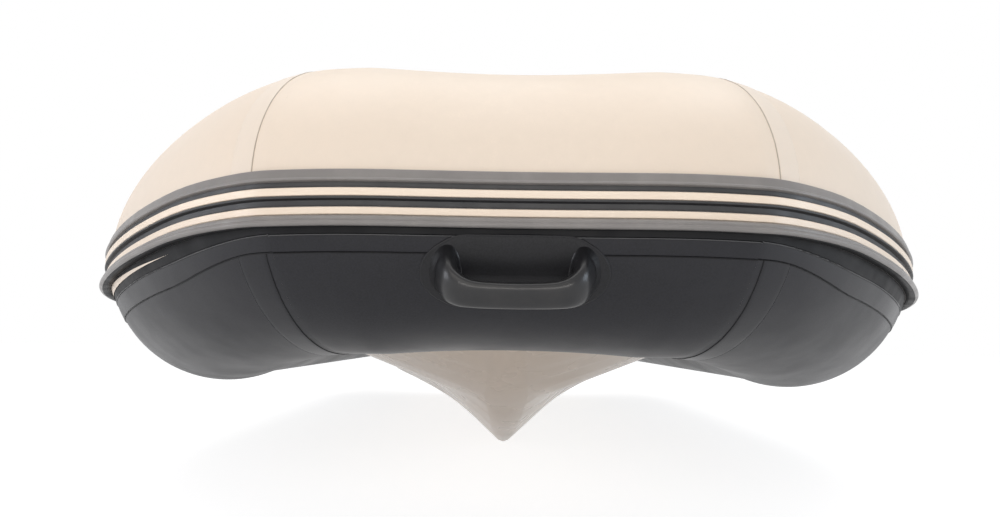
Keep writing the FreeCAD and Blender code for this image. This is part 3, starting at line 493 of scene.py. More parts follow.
def gelcoat(name, colour, second, roughness):
    """Glossy moulded gelcoat, slightly wavy, with faint dulled and stained patches."""
    mat, tree, shader = material(name, roughness, Coat_Weight=0.12, Coat_Roughness=0.06,
                                 Specular_IOR_Level=0.4)
    stains = span(tree, noise(tree, 2.6, 3), (0.3, 0.75))
    feed(tree, shader, Base_Color=mixed(tree, stains, colour, second),
         Roughness=span(tree, noise(tree, 7, 3), (0.35, 0.75), (roughness, roughness + 0.1)))
    bumped(tree, shader, [
        (noise(tree, 3.5, 1), 0.12, 0.01),
        (noise(tree, 260, 2), 0.03, 0.0002),
    ])
    return mat


def steel():
    """Polished stainless steel with fine brush marks."""
    mat, tree, shader = material("stainless_steel", 0.25, Metallic=1.0)
    marks = noise(tree, 60, 2, stretch=(1, 30, 30))
    feed(tree, shader, Base_Color=mixed(tree, marks, (0.6, 0.6, 0.6), (0.7, 0.7, 0.7)),
         Roughness=span(tree, marks, (0.3, 0.7), (0.18, 0.34)))
    bumped(tree, shader, [(marks, 0.1, 0.0003)])
    return mat


def nonskid():
    """Raised non-skid dots with trodden-in dirt."""
    mat, tree, shader = material("nonskid_floor", 0.6)
    dirt = span(tree, noise(tree, 6, 6), (0.35, 0.75))
    feed(tree, shader, Base_Color=mixed(tree, dirt, (0.36, 0.34, 0.32), (0.31, 0.29, 0.27)),
         Roughness=span(tree, noise(tree, 12, 4), (0.3, 0.7), (0.5, 0.75)))
    dots = node(tree, "ShaderNodeTexVoronoi", Vector=place(tree), Scale=110.0, Randomness=0.0)
    raised = span(tree, dots.outputs["Distance"], (0.25, 0.45), (1.0, 0.0))
    bumped(tree, shader, [(raised, 0.8, 0.0015), (noise(tree, 300, 2), 0.2, 0.0005)])
    return mat


BEIGE = coated_fabric("beige_fabric", (0.765, 0.655, 0.545), (0.74, 0.625, 0.515), 0.46)
BLACK = coated_fabric("black_fabric", (0.010, 0.010, 0.0125), (0.016, 0.016, 0.019), 0.42, 0.1)
STRAKE = moulded_rubber("strake_rubber", (0.185, 0.172, 0.165), (0.225, 0.21, 0.2), 0.36)
# Near-black rubber: the drain flap's own colour, and painted shade in the strake's grooves
FLAP_AND_GROOVE_SHADE = moulded_rubber("flap_rubber_and_groove_shade", (0.016, 0.016, 0.018), (0.026, 0.026, 0.028), 0.5)
STRIPE = moulded_rubber("stripe_rubber", (0.80, 0.675, 0.55), (0.77, 0.64, 0.515), 0.38)
HANDLE = moulded_rubber("handle_rubber", (0.013, 0.013, 0.0145), (0.021, 0.0205, 0.021),
                        0.34, 0.35)
BEIGE_TAPE = coated_fabric("beige_tape", (0.765, 0.665, 0.565), (0.74, 0.635, 0.53), 0.42)
# Darker line along the beige seam tape's inner edge: painted shade
BEIGE_SHADE_LINE = moulded_rubber("beige_shade_line", (0.42, 0.36, 0.30), (0.50, 0.43, 0.36), 0.5)
TAPE = coated_fabric("black_tape", (0.009, 0.009, 0.0115), (0.014, 0.014, 0.017), 0.38, 0.1)
# Near-black under the strake's lip: painted shade, on the lip's underside and the narrow wear tape
UNDER_LIP_SHADE = moulded_rubber("under_lip_shade", (0.004, 0.004, 0.005), (0.007, 0.007, 0.008), 0.55)
# Paler line along the narrow wear tape's lower edge: painted highlight
EDGE_HIGHLIGHT = moulded_rubber("tape_edge", (0.06, 0.06, 0.063), (0.085, 0.083, 0.082), 0.45)
# Near-black lines along the black seam tape and the wide wear tape's lower edge: painted shade
BLACK_SHADE_LINE = moulded_rubber("black_shade_line", (0.008, 0.008, 0.009), (0.014, 0.014, 0.015), 0.5)
PATCH = coated_fabric("patch_fabric", (0.009, 0.009, 0.0105), (0.014, 0.014, 0.015), 0.42, 0.1)
HULL = gelcoat("hull_gelcoat", (0.67, 0.56, 0.455), (0.635, 0.52, 0.415), 0.24)
INNER = gelcoat("inner_gelcoat", (0.70, 0.61, 0.52), (0.67, 0.575, 0.485), 0.22)
PLASTIC = moulded_rubber("black_plastic", (0.035, 0.035, 0.037), (0.055, 0.055, 0.055), 0.4)
STEEL = steel()
NONSKID = nonskid()

BY_SLOT = {
    "fabric_beige": BEIGE, "fabric_black": BLACK, "strake_rubber": STRAKE,
    "stripe_upper": STRIPE, "stripe_lower": STRIPE, "hull_gelcoat": HULL,
    "transom_gelcoat": INNER, "locker_gelcoat": INNER, "floor_nonskid": NONSKID,
    "clamp_plate": PLASTIC, "seat_board": INNER, "holder_rubber": PLASTIC,
    "stainless_steel": STEEL, "patch_rubber": PATCH, "handle_rubber": HANDLE,
    "valve_plastic": PLASTIC, "rowlock_rubber": PLASTIC,
}
for entry in frame["record"]["subparts"]:
    solid = nodes[entry["node"]].data
    solid.materials.clear()
    solid.materials.append(BY_SLOT[entry["material_slot"]])

# Air tubes in an upper and a lower panel, and the stern cones

for part, first, last, mat, slot in (
    ("upper", upper_first, upper_last, BEIGE, "fabric_beige"),
    ("lower", upper_last, lower_last, BLACK, "fabric_black"),
):
    half = panel(BOW_RINGS, first, last)
    bow_rows = reflected(half[1:]) + half
    mesh_piece("bow_panel_" + part, *grid(bow_rows), mat, slot, ["tube_bow_" + part])
    flank = panel(SIDE_RINGS, first, last)
    for side, rows in (("port", flank), ("starboard", reflected(flank))):
        solids = ["tube_%s_%s_%s" % (side, length, part) for length in ("forward", "aft")]
        mesh_piece("%s_panel_%s" % (side, part), *grid(rows), mat, slot, solids)

# (share of the cone's length, radius)
CONE_PROFILE = [(0.0, TUBE_RADIUS), (0.88, 0.093), (0.94, 0.082), (0.975, 0.066),
                (0.993, 0.042), (1.0, 0.002)]
CONE_ROWS, CONE_COUNT = 40, 112


def cone_rows():
    """Port stern cone with a rounded tip."""
    start = SIDE_RINGS[-1].centre
    rows = []
    for i in range(CONE_ROWS + 1):
        share = i / CONE_ROWS
        for (s0, r0), (s1, r1) in zip(CONE_PROFILE, CONE_PROFILE[1:]):
            if s0 <= share <= s1:
                radius = r0 + (r1 - r0) * (share - s0) / (s1 - s0)
        centre = start + Vector((0, (CONE_END - CONE_START) * share, CONE_RISE * share))
        rows.append([centre + Vector((math.cos(t), 0, math.sin(t))) * radius
                     for t in (2 * math.pi * j / CONE_COUNT for j in range(CONE_COUNT))])
    return rows


port_cone = cone_rows()
for side, rows in (("port", port_cone), ("starboard", reflected(port_cone))):
    mesh_piece("%s_cone" % side, *grid(rows, closed=True), BEIGE, "fabric_beige",
               ["stern_cone_" + side])

# Rubbing strake: one profile run along frames, which bend softly where the tube is mitred

FRAME_STEP = 0.006
BRIDGE, BRIDGE_REACH = 0.0030, 0.035
SOFTNESS, SOFT_SAMPLE, SOFT_ZONE, SOFT_FADE = 0.020, 0.16, 0.1, 0.04


def strake_frames():
    """Frames (origin, outward, upward) from starboard to port, softly bent at the seams."""
    raw = []
    for past in distances(-SEAM_TO_CENTRE, STRAKE_STOP, FRAME_STEP, 3 * FRAME_STEP):
        ring = ring_at(past)
        origin = ring.at(ring.split(), BRIDGE * math.exp(-(past / BRIDGE_REACH) ** 2))
        raw.append((past, origin, (origin - ring.centre).normalized()))
    frames = []
    for past, origin, outward in raw:
        if abs(past) < SOFT_ZONE:
            near = [(math.exp(-((p - past) / SOFTNESS) ** 2), o, n) for p, o, n in raw
                    if abs(p) < SOFT_SAMPLE]
            total = sum(w for w, o, n in near)
            fade = min((SOFT_ZONE - abs(past)) / SOFT_FADE, 1)
            mean_origin = sum((o * w for w, o, n in near), Vector()) / total
            mean_outward = sum((n * w for w, o, n in near), Vector()) / total
            origin = origin.lerp(mean_origin, fade)
            outward = outward.lerp(mean_outward, fade).normalized()
        upward = (UP - outward * outward.z).normalized()
        frames.append((origin, outward, upward))
    mirror = [tuple(Vector((-v.x, v.y, v.z)) for v in f) for f in frames[:0:-1]]
    return mirror + frames


FRAMES = strake_frames()


def along_strake(profile):
    """Rows of a profile, given as (outward, upward) in millimetres, along the frames."""
    return [[origin + outward * (n / 1000) + upward * (v / 1000) for n, v in profile]
            for origin, outward, upward in FRAMES]


def softened(outline, radius=0.8):
    """An open outline in millimetres with each corner rounded, the flats kept."""
    result = [outline[0]]
    for before, corner, after in zip(outline, outline[1:], outline[2:]):
        corner = Vector(corner)
        back, ahead = Vector(before) - corner, Vector(after) - corner
        reach = min(radius, back.length * 0.45, ahead.length * 0.45)
        start, end = corner + back.normalized() * reach, corner + ahead.normalized() * reach
        for i in range(CORNER_STEPS + 1):
            t = i / CORNER_STEPS
            point = start.lerp(corner, t).lerp(corner.lerp(end, t), t)
            result.append((point.x, point.y))
    return result + [outline[-1]]


# Flange, groove, stripe bed, middle band, stripe bed and lip, from the top down
FACE = [
    (-2.6, 36), (2.4, 36), (3.6, 33.5), (6.2, 24.8), (8.2, 23.8), (8.6, 21.8), (6.4, 20.4),
    (2.6, 19.4), (2.4, 13.6), (5, 12.6), (5, 1.6), (8.4, 1.4), (9.8, 0.2), (9.4, -1.2), (6, -2.2),
    (2.6, -3.0), (2.4, -10.4), (5, -11.4), (5, -21.8), (10.5, -22.0), (14.8, -23.6), (16.8, -26.4),
    (16.2, -28.2), (18.8, -29.6), (19.9, -32), (18.6, -34.6), (14.4, -36), (-2.6, -36),
]
STRAKE_NODES = ["rubbing_strake_" + part for part in (
    "bow", "shoulder_port", "shoulder_starboard", "port", "starboard")]
mesh_piece("strake_body", *capped(along_strake(softened(FACE))), STRAKE, "strake_rubber",
           STRAKE_NODES)

STRIPE_BACK, STRIPE_EDGE, STRIPE_CREST, STRIPE_DISH = 4.6, 7.4, 8.8, 8.2
for name, top, low in (("upper", 12.3, 1.9), ("lower", -11.7, -21.5)):
    inset = [(STRIPE_BACK, top), (STRIPE_EDGE, top), (STRIPE_CREST, top - 1.0),
             (STRIPE_DISH, (top + low) / 2), (STRIPE_CREST, low + 1.0), (STRIPE_EDGE, low),
             (STRIPE_BACK, low)]
    solids = ["strake_stripe_%s_%s" % (side, name) for side in ("bow", "port", "starboard")]
    mesh_piece("stripe_" + name, *capped(along_strake(softened(inset, 0.5))), STRIPE,
               "stripe_" + name, solids)

# Near-black strips in the strake's grooves: painted shade in the recesses
for name, groove in (
    ("upper", [(1.4, 20.0), (3.3, 19.5), (3.3, 13.7), (1.4, 13.2)]),
    ("middle", [(1.4, 1.8), (8.4, 1.75), (10.0, 0.35), (9.7, -1.35), (6.3, -2.4), (3.4, -3.4),
                (3.3, -10.3), (1.4, -10.8)]),
):
    mesh_piece("strake_groove_" + name, *capped(along_strake(softened(groove, 0.4))), FLAP_AND_GROOVE_SHADE,
               "strake_rubber")

# Near-black strip under the lip: painted shade beneath the strake's lip
LIP_UNDERSIDE_SHADE = [(15.0, -35.95), (14.2, -36.5), (0.8, -36.5), (0.8, -35.95)]
mesh_piece("strake_lip_foot", *capped(along_strake(LIP_UNDERSIDE_SHADE)), UNDER_LIP_SHADE, "strake_rubber")

# Seam tapes in both colours, with a darker line of painted shade along the inner edge and a raised
# bead in the tape's own colour along the outer edge


def thin_line(name, past, first, last, mat, slot, half=0.0007, lift=0.0011):
    """A thin raised line across the tube, at a distance past the seam; in a darker finish it is
    painted shade along a tape's edge.
    """
    places = [(past - half, 0), (past - half * 0.6, 0.8), (past, 1), (past + half * 0.6, 0.8),
              (past + half, 0)]
    both_sides(name, strip_rows(places, first, last, lift), mat, slot)


def tape_places(first, last):
    """Distances past the seam over a tape, with the share of its full thickness."""
    inner = [(first + (last - first) * j / 6, 1) for j in range(1, 6)]
    return [(first, 0), (first + 0.0003, 0.8), (first + 0.0012, 1), *inner,
            (last - 0.0012, 1), (last - 0.0003, 0.8), (last, 0)]


SEAM_TAPE_LIFT, SEAM_TAPE_COUNT = 0.0007, 72
SEAM_EDGE_HALF, SEAM_EDGE_LIFT = 0.0009, 0.0009
STRAKE_TOP, STRAKE_FOOT, BEIGE_END, BLACK_END = (
    math.radians(a) for a in (4.2, -14.8, 182, -172))
for label, first, last, a, b, mat, line, slot in (
    ("beige", 0.019, 0.044, STRAKE_TOP, BEIGE_END, BEIGE_TAPE, BEIGE_SHADE_LINE, "fabric_beige"),
    ("black", 0.009, 0.046, BLACK_END, STRAKE_FOOT, TAPE, BLACK_SHADE_LINE, "fabric_black"),
):
    rows = strip_rows(tape_places(first, last), a, b, SEAM_TAPE_LIFT, SEAM_TAPE_COUNT)
    both_sides(label + "_seam_tape", rows, mat, slot)
    thin_line(label + "_seam_shade_line", first, a, b, line, slot)
    thin_line(label + "_seam_edge", last, a, b, mat, slot, SEAM_EDGE_HALF, SEAM_EDGE_LIFT)

# Wear tape under the strake: a narrow strip over a wide one, both wider past the shoulders; the
# narrow strip's near-black colour is painted shade under the lip


def soft_step(value, first, last):
    """0 before the first value, 1 after the last one, smooth between them."""
    t = min(max((value - first) / (last - first), 0), 1)
    return t * t * (3 - 2 * t)


def under_strake(start, spread=0, first=0, last=1):
    """Angle so many millimetres round from the strake's middle, with a spread more aft."""
    def angle(ring):
        below = start + spread * soft_step(ring.past, first, last)
        return ring.split() - below / 1000 / ring.radius
    return angle


TAPE_TOP = under_strake(33)
TAPE_STOP = STRAKE_STOP - 0.004
EDGE_WIDTH, EDGE_LIFT = 1.1, 0.0002
flank_rings = [r for r in SIDE_RINGS if r.past < TAPE_STOP] + [ring_at(TAPE_STOP)]
for label, below, spread, first, last, lift, mat, edge_mat in (
    # The wide strip's lower edge is a painted shade line
    ("wide", 68, 23, 0.02, 0.16, 0.0011, TAPE, BLACK_SHADE_LINE),
    # The narrow strip's lower edge is a painted highlight line
    ("narrow", 45, 14, 0.0, 0.15, 0.0020, UNDER_LIP_SHADE, EDGE_HIGHLIGHT),
):
    low = under_strake(below, spread, first, last)
    edge = under_strake(below + EDGE_WIDTH, spread, first, last)
    for kind, top, foot, rise, finish in (
        ("tape", TAPE_TOP, low, lift, mat),
        ("edge", low, edge, lift + EDGE_LIFT, edge_mat),
    ):
        half = band(BOW_RINGS, top, foot, rise)
        name = "wear_%s_%s" % (kind, label)
        mesh_piece(name + "_bow", *grid(reflected(half[1:]) + half), finish, "fabric_black")
        both_sides(name, band(flank_rings, top, foot, rise), finish, "fabric_black")

# Beige edge of fabric that shows below the strake on the starboard shoulder
WEDGE_START, WEDGE_LENGTH, WEDGE_LIFT = 0.137, 0.32, 0.0030
WEDGE_LOW, WEDGE_FALL = -17.8, 0.5
WEDGE_STEPS, WEDGE_TAPER, WEDGE_COUNT = 30, 22, 4
wedge = []
for step in range(WEDGE_STEPS + 1):
    ring = ring_at(WEDGE_START + WEDGE_LENGTH * step / WEDGE_STEPS)
    low = math.radians(WEDGE_LOW - WEDGE_FALL * step / WEDGE_STEPS)
    top = low + (STRAKE_FOOT - low) * min(step / WEDGE_TAPER, 1)
    wedge.append([ring.at(top + (low - top) * k / WEDGE_COUNT, WEDGE_LIFT)
                  for k in range(WEDGE_COUNT + 1)])
mesh_piece("fabric_edge_starboard", *grid(reflected(wedge)), BEIGE, "fabric_beige")

# Carrying handles on their rounded patches, in millimetres from the patch's middle

PAD_LENGTH, PAD_HEIGHT, PAD_COUNT = 115, 53, 20
# (inset from the pad's edge, height over the tube)
PAD_LEVELS = [(0, -0.4), (0.3, 1.6), (1.0, 2.2), (2.2, 2.6), (3.2, 2.2), (4.4, 2.3), (12, 2.4),
              (24, 2.5), (36, 2.6), (46, 2.7), (52, 2.7), (52.9, 2.7)]
# (along, up, away, half depth, half height) from the middle of the loop to a foot
HALF_LOOP = [
    (0, -6.5, 46, 9.2, 14.4), (36, -6, 45.5, 9.2, 14.6), (55, -5, 44, 9.6, 15.4),
    (69, -3, 39.5, 11, 18), (80, 0, 30, 12.4, 22), (84.5, 3, 17, 13.6, 26.5),
    (85.5, 4.5, 9, 15, 30), (86, 5, 3.4, 18, 33), (86, 5, -1, 22, 37),
]
LOOP = smooth_path([(-x, *rest) for x, *rest in reversed(HALF_LOOP[1:])] + HALF_LOOP)
LOOP_COUNT, LOOP_POWER, LOOP_SLIM, LOOP_FULL, LOOP_SUNK = 32, 0.72, 0.32, 80, -1


def stadium(half_length, half_height):
    """Outline of a rounded patch, as (x, y) pairs."""
    flat = half_length - half_height
    points = []
    for centre, start in ((flat, -90), (-flat, 90)):
        for j in range(PAD_COUNT + 1):
            t = math.radians(start + 180 * j / PAD_COUNT)
            points.append((centre + half_height * math.cos(t), half_height * math.sin(t)))
    return points


def pad_mesh(mount):
    """A pad bonded on a tube, with a welded rim."""
    rows = []
    for inset, height in PAD_LEVELS:
        outline = stadium(PAD_LENGTH - inset, PAD_HEIGHT - inset)
        rows.append([mount.at(x, y, height) for x, y in outline])
    return grid(rows, closed=True)


def loop_mesh(mount):
    """Moulded loop with a squarish section that swells into its feet."""
    rows = []
    for i, (x, y, z, half_depth, half_height) in enumerate(LOOP):
        before, after = LOOP[max(i - 1, 0)], LOOP[min(i + 1, len(LOOP) - 1)]
        course, rise = after[0] - before[0], after[2] - before[2]
        length = math.hypot(course, rise)
        nx, nz = -rise / length, course / length
        row = []
        for j in range(LOOP_COUNT):
            t = 2 * math.pi * j / LOOP_COUNT
            slim = 1 - LOOP_SLIM * max(math.sin(t), 0) * min(abs(x) / LOOP_FULL, 1)
            c = math.copysign(abs(math.cos(t)) ** LOOP_POWER, math.cos(t)) * half_depth * slim
            d = math.copysign(abs(math.sin(t)) ** LOOP_POWER, math.sin(t)) * half_height
            row.append(mount.at(x + nx * c, y + d, max(z + nz * c, LOOP_SUNK)))
        rows.append(row)
    return capped(rows)


SIDE_HANDLE_PAST = SEAM_TO_CONE - 0.440
BOW_HANDLE_BELOW, SIDE_HANDLE_BELOW = 31.024, 37.317
for name, mount in (
    ("bow_handle", Mount(-SEAM_TO_CENTRE, BOW_HANDLE_BELOW)),
    ("side_handle_port", Mount(SIDE_HANDLE_PAST, SIDE_HANDLE_BELOW)),
    ("side_handle_starboard", Mount(SIDE_HANDLE_PAST, SIDE_HANDLE_BELOW, True)),
):
    patch = name.replace("handle", "handle_patch")
    mesh_piece(patch + "_pad", *pad_mesh(mount), PATCH, "patch_rubber", [patch])
    mesh_piece(name + "_loop", *loop_mesh(mount), HANDLE, "handle_rubber", [name])

# Hull, cockpit, locker, transom and fittings; a width of 0 only smooths the shading

for name, width, mat, slot, body in (
    ("thwart_seat", 0.006, INNER, "seat_board", "boat"),
    ("seat_holder_port", 0.005, PLASTIC, "holder_rubber", "boat"),
    ("seat_holder_starboard", 0.005, PLASTIC, "holder_rubber", "boat"),
    ("transom", 0.006, INNER, "transom_gelcoat", "boat"),
    ("motor_pad_outer", 0.0025, PLASTIC, "clamp_plate", "boat"),
    ("motor_pad_inner", 0.0025, PLASTIC, "clamp_plate", "boat"),
    ("bow_locker", 0.004, INNER, "locker_gelcoat", "boat"),
    ("bow_locker_lid", 0.005, INNER, "locker_gelcoat", "locker_lid"),
    ("rowlock_port", 0.003, PLASTIC, "rowlock_rubber", "boat"),
    ("rowlock_starboard", 0.003, PLASTIC, "rowlock_rubber", "boat"),
    ("hull", 0, HULL, "hull_gelcoat", "boat"),
):
    rounded_copy(name, width, mat, slot, body)

SLAB_EDGE, SLAB_STEPS = 0.0008, 6


def slab(name, outline, low, high, body, corner):
    """A flat non-skid pad with rounded corners above an outline of (x, y) pairs."""
    soft = []
    count = len(outline)
    for i in range(count):
        before, point, after = (Vector((*outline[(i + k) % count], 0)) for k in (-1, 0, 1))
        start = point + (before - point).normalized() * corner
        end = point + (after - point).normalized() * corner
        for step in range(SLAB_STEPS + 1):
            t = step / SLAB_STEPS
            soft.append(start.lerp(point, t).lerp(point.lerp(end, t), t))
    middle = sum(soft, Vector()) / len(soft)
    rows = []
    for inset, height in ((0, low), (0, high - SLAB_EDGE),
                          (SLAB_EDGE * 0.4, high - SLAB_EDGE * 0.3), (SLAB_EDGE, high)):
        rows.append([p + (middle - p).normalized() * inset + UP * height for p in soft])
    mesh_piece(name, *capped(rows), NONSKID, "floor_nonskid", body=body)


# Profiles of the turned pieces, as (radius, height) pairs
CAP = [(0.0005, 0.0088), (0.006, 0.0088), (0.0085, 0.0074), (0.013, 0.0072), (0.0155, 0.0086),
       (0.024, 0.0086), (0.0255, 0.0072), (0.0285, 0.007), (0.0325, 0.0058), (0.034, 0.0035),
       (0.034, -0.005)]
CAP_PATCH = [(0.050, -0.004), (0.048, 0.0012), (0.037, 0.0024), (0.0345, 0.0016),
             (0.0345, -0.004)]
DRAIN_RING = [(0.0165, 0.004), (0.0165, 0.0105), (0.019, 0.012), (0.0245, 0.0115),
              (0.030, 0.008), (0.030, 0)]
DRAIN_FLAP = [(0.0005, 0.006), (0.012, 0.0058), (0.0166, 0.0045)]
EYE_WASHER = [(0.0052, 0.003), (0.0085, 0.003), (0.0105, 0.0022), (0.0125, 0.0006), (0.0125, 0)]
PIN_SLEEVE = [(0.0005, 0.0512), (0.006, 0.0508), (0.0088, 0.0480), (0.0088, 0.0030),
              (0.014, 0.0022), (0.016, 0.0)]
CONE_TAPE = [(TUBE_RADIUS - 0.0006, -0.026), (TUBE_RADIUS + 0.0007, -0.0245),
             (TUBE_RADIUS + 0.0008, -0.004), (TUBE_RADIUS + 0.0006, 0.0),
             (TUBE_RADIUS - 0.0004, 0.003)]
LATCH = [(0.0005, 0.0042), (0.004, 0.0042), (0.005, 0.0026), (0.0088, 0.0026),
         (0.0105, 0.0016), (0.0105, -0.001)]

SIDE_X, SIDE_Z = SIDE_RINGS[-1].centre.x, SIDE_RINGS[-1].centre.z
VALVE_Y = CONE_START - 0.680
for name, centre, axis, tube in (
    ("bow", (0, BOW_Y, BOW_Z), (0, 1, 1.1), BOW_RADIUS),
    ("port", (SIDE_X, VALVE_Y, SIDE_Z), (-1, 0, 0.45), TUBE_RADIUS),
    ("starboard", (-SIDE_X, VALVE_Y, SIDE_Z), (1, 0, 0.45), TUBE_RADIUS),
):
    base = Vector(centre) + Vector(axis).normalized() * tube
    lathe("valve_cap_" + name, base, axis, CAP, PLASTIC, "valve_plastic", ["air_valve_" + name])
    lathe("valve_patch_" + name, base, axis, CAP_PATCH, BEIGE_TAPE, "fabric_beige")

TRANSOM_Y, TRANSOM_DEPTH = CONE_START - 0.092, 0.042
DRAIN = (0, TRANSOM_Y, 0.042)
lathe("drain_ring", DRAIN, (0, 1, 0), DRAIN_RING, PLASTIC, "valve_plastic", ["drain_flange"])
lathe("drain_flap", DRAIN, (0, 1, 0), DRAIN_FLAP, FLAP_AND_GROOVE_SHADE, "valve_plastic")

EYE_X, EYE_Z, EYE_SPREAD = 0.300, 0.270, 0.024
PIN_Y, PIN_LIFT = 0.020, 0.020
for side, hand in ((-1, "starboard"), (1, "port")):
    for k, height in enumerate((EYE_Z - EYE_SPREAD, EYE_Z + EYE_SPREAD)):
        lathe("eye_washer_%s_%d" % (hand, k), (side * EYE_X, TRANSOM_Y - TRANSOM_DEPTH, height),
              (0, -1, 0), EYE_WASHER, STEEL, "stainless_steel")
    lathe("rowlock_sleeve_" + hand, (side * SIDE_X, PIN_Y, SIDE_Z + TUBE_RADIUS + PIN_LIFT),
          UP, PIN_SLEEVE, STEEL, "stainless_steel")
    lathe("cone_tape_" + hand, (side * SIDE_X, CONE_START, SIDE_Z), (0, 1, 0), CONE_TAPE,
          BEIGE_TAPE, "fabric_beige", count=128)

# Rubber edging over the top of the transom and round the motor cut-out

MOTOR_TOP, BOARD_TOP = 0.222, 0.330
EDGING = [(0.447, BOARD_TOP), (0.262, BOARD_TOP), (0.240, BOARD_TOP - 0.004),
          (0.229, BOARD_TOP - 0.020), (0.201, MOTOR_TOP + 0.022), (0.190, MOTOR_TOP + 0.006),
          (0.172, MOTOR_TOP)]
EDGING += [(-x, z) for x, z in reversed(EDGING)]
# (aft of the transom's face, away from its edge): a channel over the board
CHANNEL = [(-0.0445, -0.011), (-0.0445, 0.0005), (-0.042, 0.0030), (0, 0.0030), (0.0025, 0.0005),
           (0.0025, -0.011), (0.0003, -0.011), (0.0003, -0.0004), (-0.0423, -0.0004),
           (-0.0423, -0.011)]


def edging_mesh():
    """The channel swept over the board's top edge."""
    rows = []
    for i, (x, z) in enumerate(EDGING):
        before, after = EDGING[max(i - 1, 0)], EDGING[min(i + 1, len(EDGING) - 1)]
        course = Vector((after[0] - before[0], 0, after[1] - before[1])).normalized()
        away = Vector((-course.z, 0, course.x)) * (1 if course.x > 0 else -1)
        rows.append([Vector((x, TRANSOM_Y + y, z)) + away * n for y, n in CHANNEL])
    return capped(rows)


edging = mesh_piece("transom_edging", *edging_mesh(), PLASTIC, "clamp_plate")
edging.data.set_sharp_from_angle(angle=SHARP_ANGLE)

# Non-skid pads on the lid and the seat, and the lid's latch

PAD_SUNK, LID_PAD, SEAT_PAD = 0.001, 0.0016, 0.0018
LID_OUTLINE = [(-0.150, -1.222), (0.150, -1.222), (0.252, -0.905), (-0.252, -0.905)]
LID_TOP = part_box("bow_locker_lid")[1][2]
slab("lid_grip_pad", LID_OUTLINE, LID_TOP - PAD_SUNK, LID_TOP + LID_PAD, "locker_lid", 0.03)
lathe("lid_latch", (0, -0.884, LID_TOP), UP, LATCH, STEEL, "stainless_steel", body="locker_lid")

SEAT_HALF, SEAT_INSET = 0.430, 0.025
SEAT_LOW, SEAT_HIGH = (Vector(c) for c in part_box("thwart_seat"))
fore, aft = SEAT_LOW.y + SEAT_INSET, SEAT_HIGH.y - SEAT_INSET
slab("seat_grip_pad", [(-SEAT_HALF, fore), (SEAT_HALF, fore), (SEAT_HALF, aft), (-SEAT_HALF, aft)],
     SEAT_HIGH.z - PAD_SUNK, SEAT_HIGH.z + SEAT_PAD, "boat", 0.035)

# Stage: a pale floor under the keel, a white background and soft studio lights

FLOOR_Z, FLOOR_REACH = -0.162, 14
FLOOR_GLOW, FLOOR_MATT, FLOOR_BOUNCE = 0.82, 0.54, 0.9
WORLD_STRENGTH, WORLD_COLOUR = 0.4, (0.93, 0.95, 1.0, 1)


def seen(tree):
    """1 for what the camera sees, straight or in gloss and glass, else 0."""
    rays = node(tree, "ShaderNodeLightPath").outputs
    total = rays["Is Camera Ray"]
    for kind in ("Is Glossy Ray", "Is Transmission Ray"):
        both = tree.nodes.new("ShaderNodeMath")
        both.operation = "MAXIMUM"
        tree.links.new(total, both.inputs[0])
        tree.links.new(rays[kind], both.inputs[1])
        total = both.outputs[0]
    return total


def show(tree, plain, shown, output):
    """One shader for what is seen and another for the light on the object."""
    mix = node(tree, "ShaderNodeMixShader", Fac=seen(tree))
    tree.links.new(plain.outputs[0], mix.inputs[1])
    tree.links.new(shown.outputs[0], mix.inputs[2])
    tree.links.new(mix.outputs[0], tree.nodes[output].inputs["Surface"])


def stage_white():
    """White with a soft shadow where it is seen, plain where it bounces light."""
    mat, tree, shader = material("stage_white", 0.9)
    shader.inputs["Base Color"].default_value = (FLOOR_BOUNCE, FLOOR_BOUNCE, FLOOR_BOUNCE, 1)
    glow = node(tree, "ShaderNodeEmission", Strength=FLOOR_GLOW)
    matt = node(tree, "ShaderNodeBsdfDiffuse", Color=(FLOOR_MATT, FLOOR_MATT, FLOOR_MATT, 1))
    both = tree.nodes.new("ShaderNodeAddShader")
    tree.links.new(glow.outputs[0], both.inputs[0])
    tree.links.new(matt.outputs[0], both.inputs[1])
    show(tree, shader, both, "Material Output")
    return mat


floor_mesh = bpy.data.meshes.new("studio_floor")
floor_mesh.from_pydata([(-FLOOR_REACH, -FLOOR_REACH, FLOOR_Z), (FLOOR_REACH, -FLOOR_REACH, FLOOR_Z),
                        (FLOOR_REACH, FLOOR_REACH, FLOOR_Z), (-FLOOR_REACH, FLOOR_REACH, FLOOR_Z)],
                       [], [(0, 1, 2, 3)])
floor_mesh.materials.append(stage_white())
floor = bpy.data.objects.new("studio_floor", floor_mesh)
scene.collection.objects.link(floor)

world = bpy.data.worlds.new("studio")
scene.world = world
world.use_nodes = True
background = world.node_tree.nodes["Background"]
background.inputs["Color"].default_value = WORLD_COLOUR
background.inputs["Strength"].default_value = WORLD_STRENGTH
white = node(world.node_tree, "ShaderNodeBackground", Color=(1, 1, 1, 1), Strength=1.0)
show(world.node_tree, background, white, "World Output")


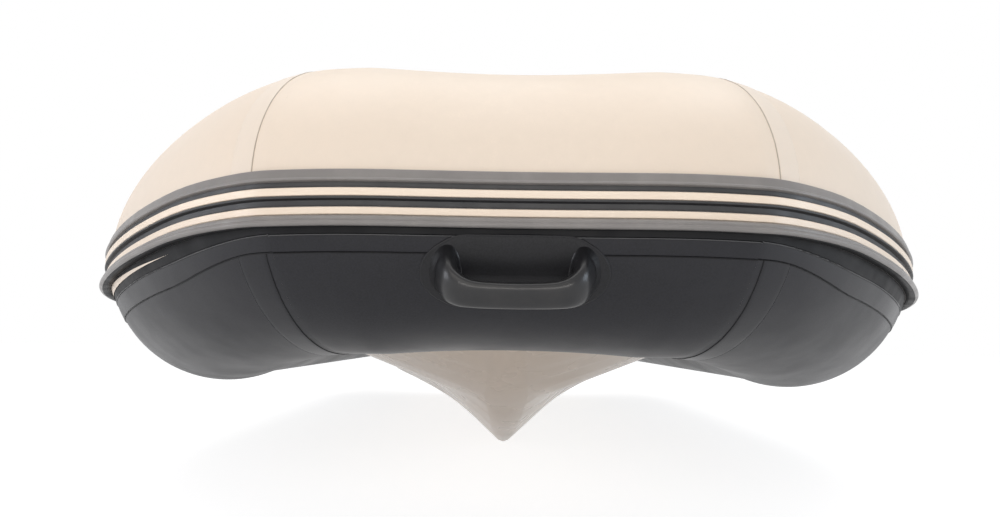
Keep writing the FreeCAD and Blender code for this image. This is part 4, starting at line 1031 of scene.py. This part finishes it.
def area(name, place_at, target, width, height, power, colour):
    """A soft rectangular light aimed at a point, unseen by the camera."""
    lamp = bpy.data.lights.new(name, "AREA")
    lamp.shape = "RECTANGLE"
    lamp.size, lamp.size_y = width, height
    lamp.energy = power
    lamp.color = colour
    obj = bpy.data.objects.new(name, lamp)
    scene.collection.objects.link(obj)
    obj.location = place_at
    aim = Vector(target) - Vector(place_at)
    obj.rotation_euler = aim.to_track_quat("-Z", "Y").to_euler()
    obj.visible_camera = False


area("overhead", (0, -1.2, 4.0), (0, -0.6, 0), 5, 4, 112, (1, 0.985, 0.96))
area("front_fill", (-1.2, -5.0, 1.5), (0, -1.4, 0.2), 3, 2, 26, (1, 0.94, 0.86))
area("port_side", (3.4, -2.4, 0.45), (0.5, -1.0, 0.05), 1.8, 1.0, 28, (0.76, 0.87, 1))
area("starboard_side", (-3.4, -2.4, 0.45), (-0.5, -1.0, 0.05), 1.8, 1.0, 29, (0.88, 0.91, 1))
area("low_front", (0, -4.4, 0.0), (0, -0.6, 0.1), 2.6, 0.24, 18, (1, 0.96, 0.91))

# Camera at the photograph's viewpoint, which was fitted to its outline

CAMERA_AT = (-0.024, -2.599, 0.131)
HEADING, PITCH, ROLL = (math.radians(a) for a in (0.27, 6.20, 0.79))
SENSOR_WIDTH = 36
LENS_SHARE = 0.7284

camera = bpy.data.objects.new("camera", bpy.data.cameras.new("camera"))
scene.collection.objects.link(camera)
camera.data.sensor_width = SENSOR_WIDTH
camera.data.lens = SENSOR_WIDTH * LENS_SHARE
camera.data.clip_start = 0.02
forward = Vector((math.sin(HEADING) * math.cos(PITCH), math.cos(HEADING) * math.cos(PITCH),
                  math.sin(PITCH)))
level = forward.cross(UP).normalized()
upright = level.cross(forward)
right = level * math.cos(ROLL) + upright * math.sin(ROLL)
above = upright * math.cos(ROLL) - level * math.sin(ROLL)
turn = Matrix((right, above, -forward)).transposed()
camera.matrix_world = Matrix.Translation(CAMERA_AT) @ turn.to_4x4()
scene.camera = camera
scene.view_settings.view_transform = "Standard"
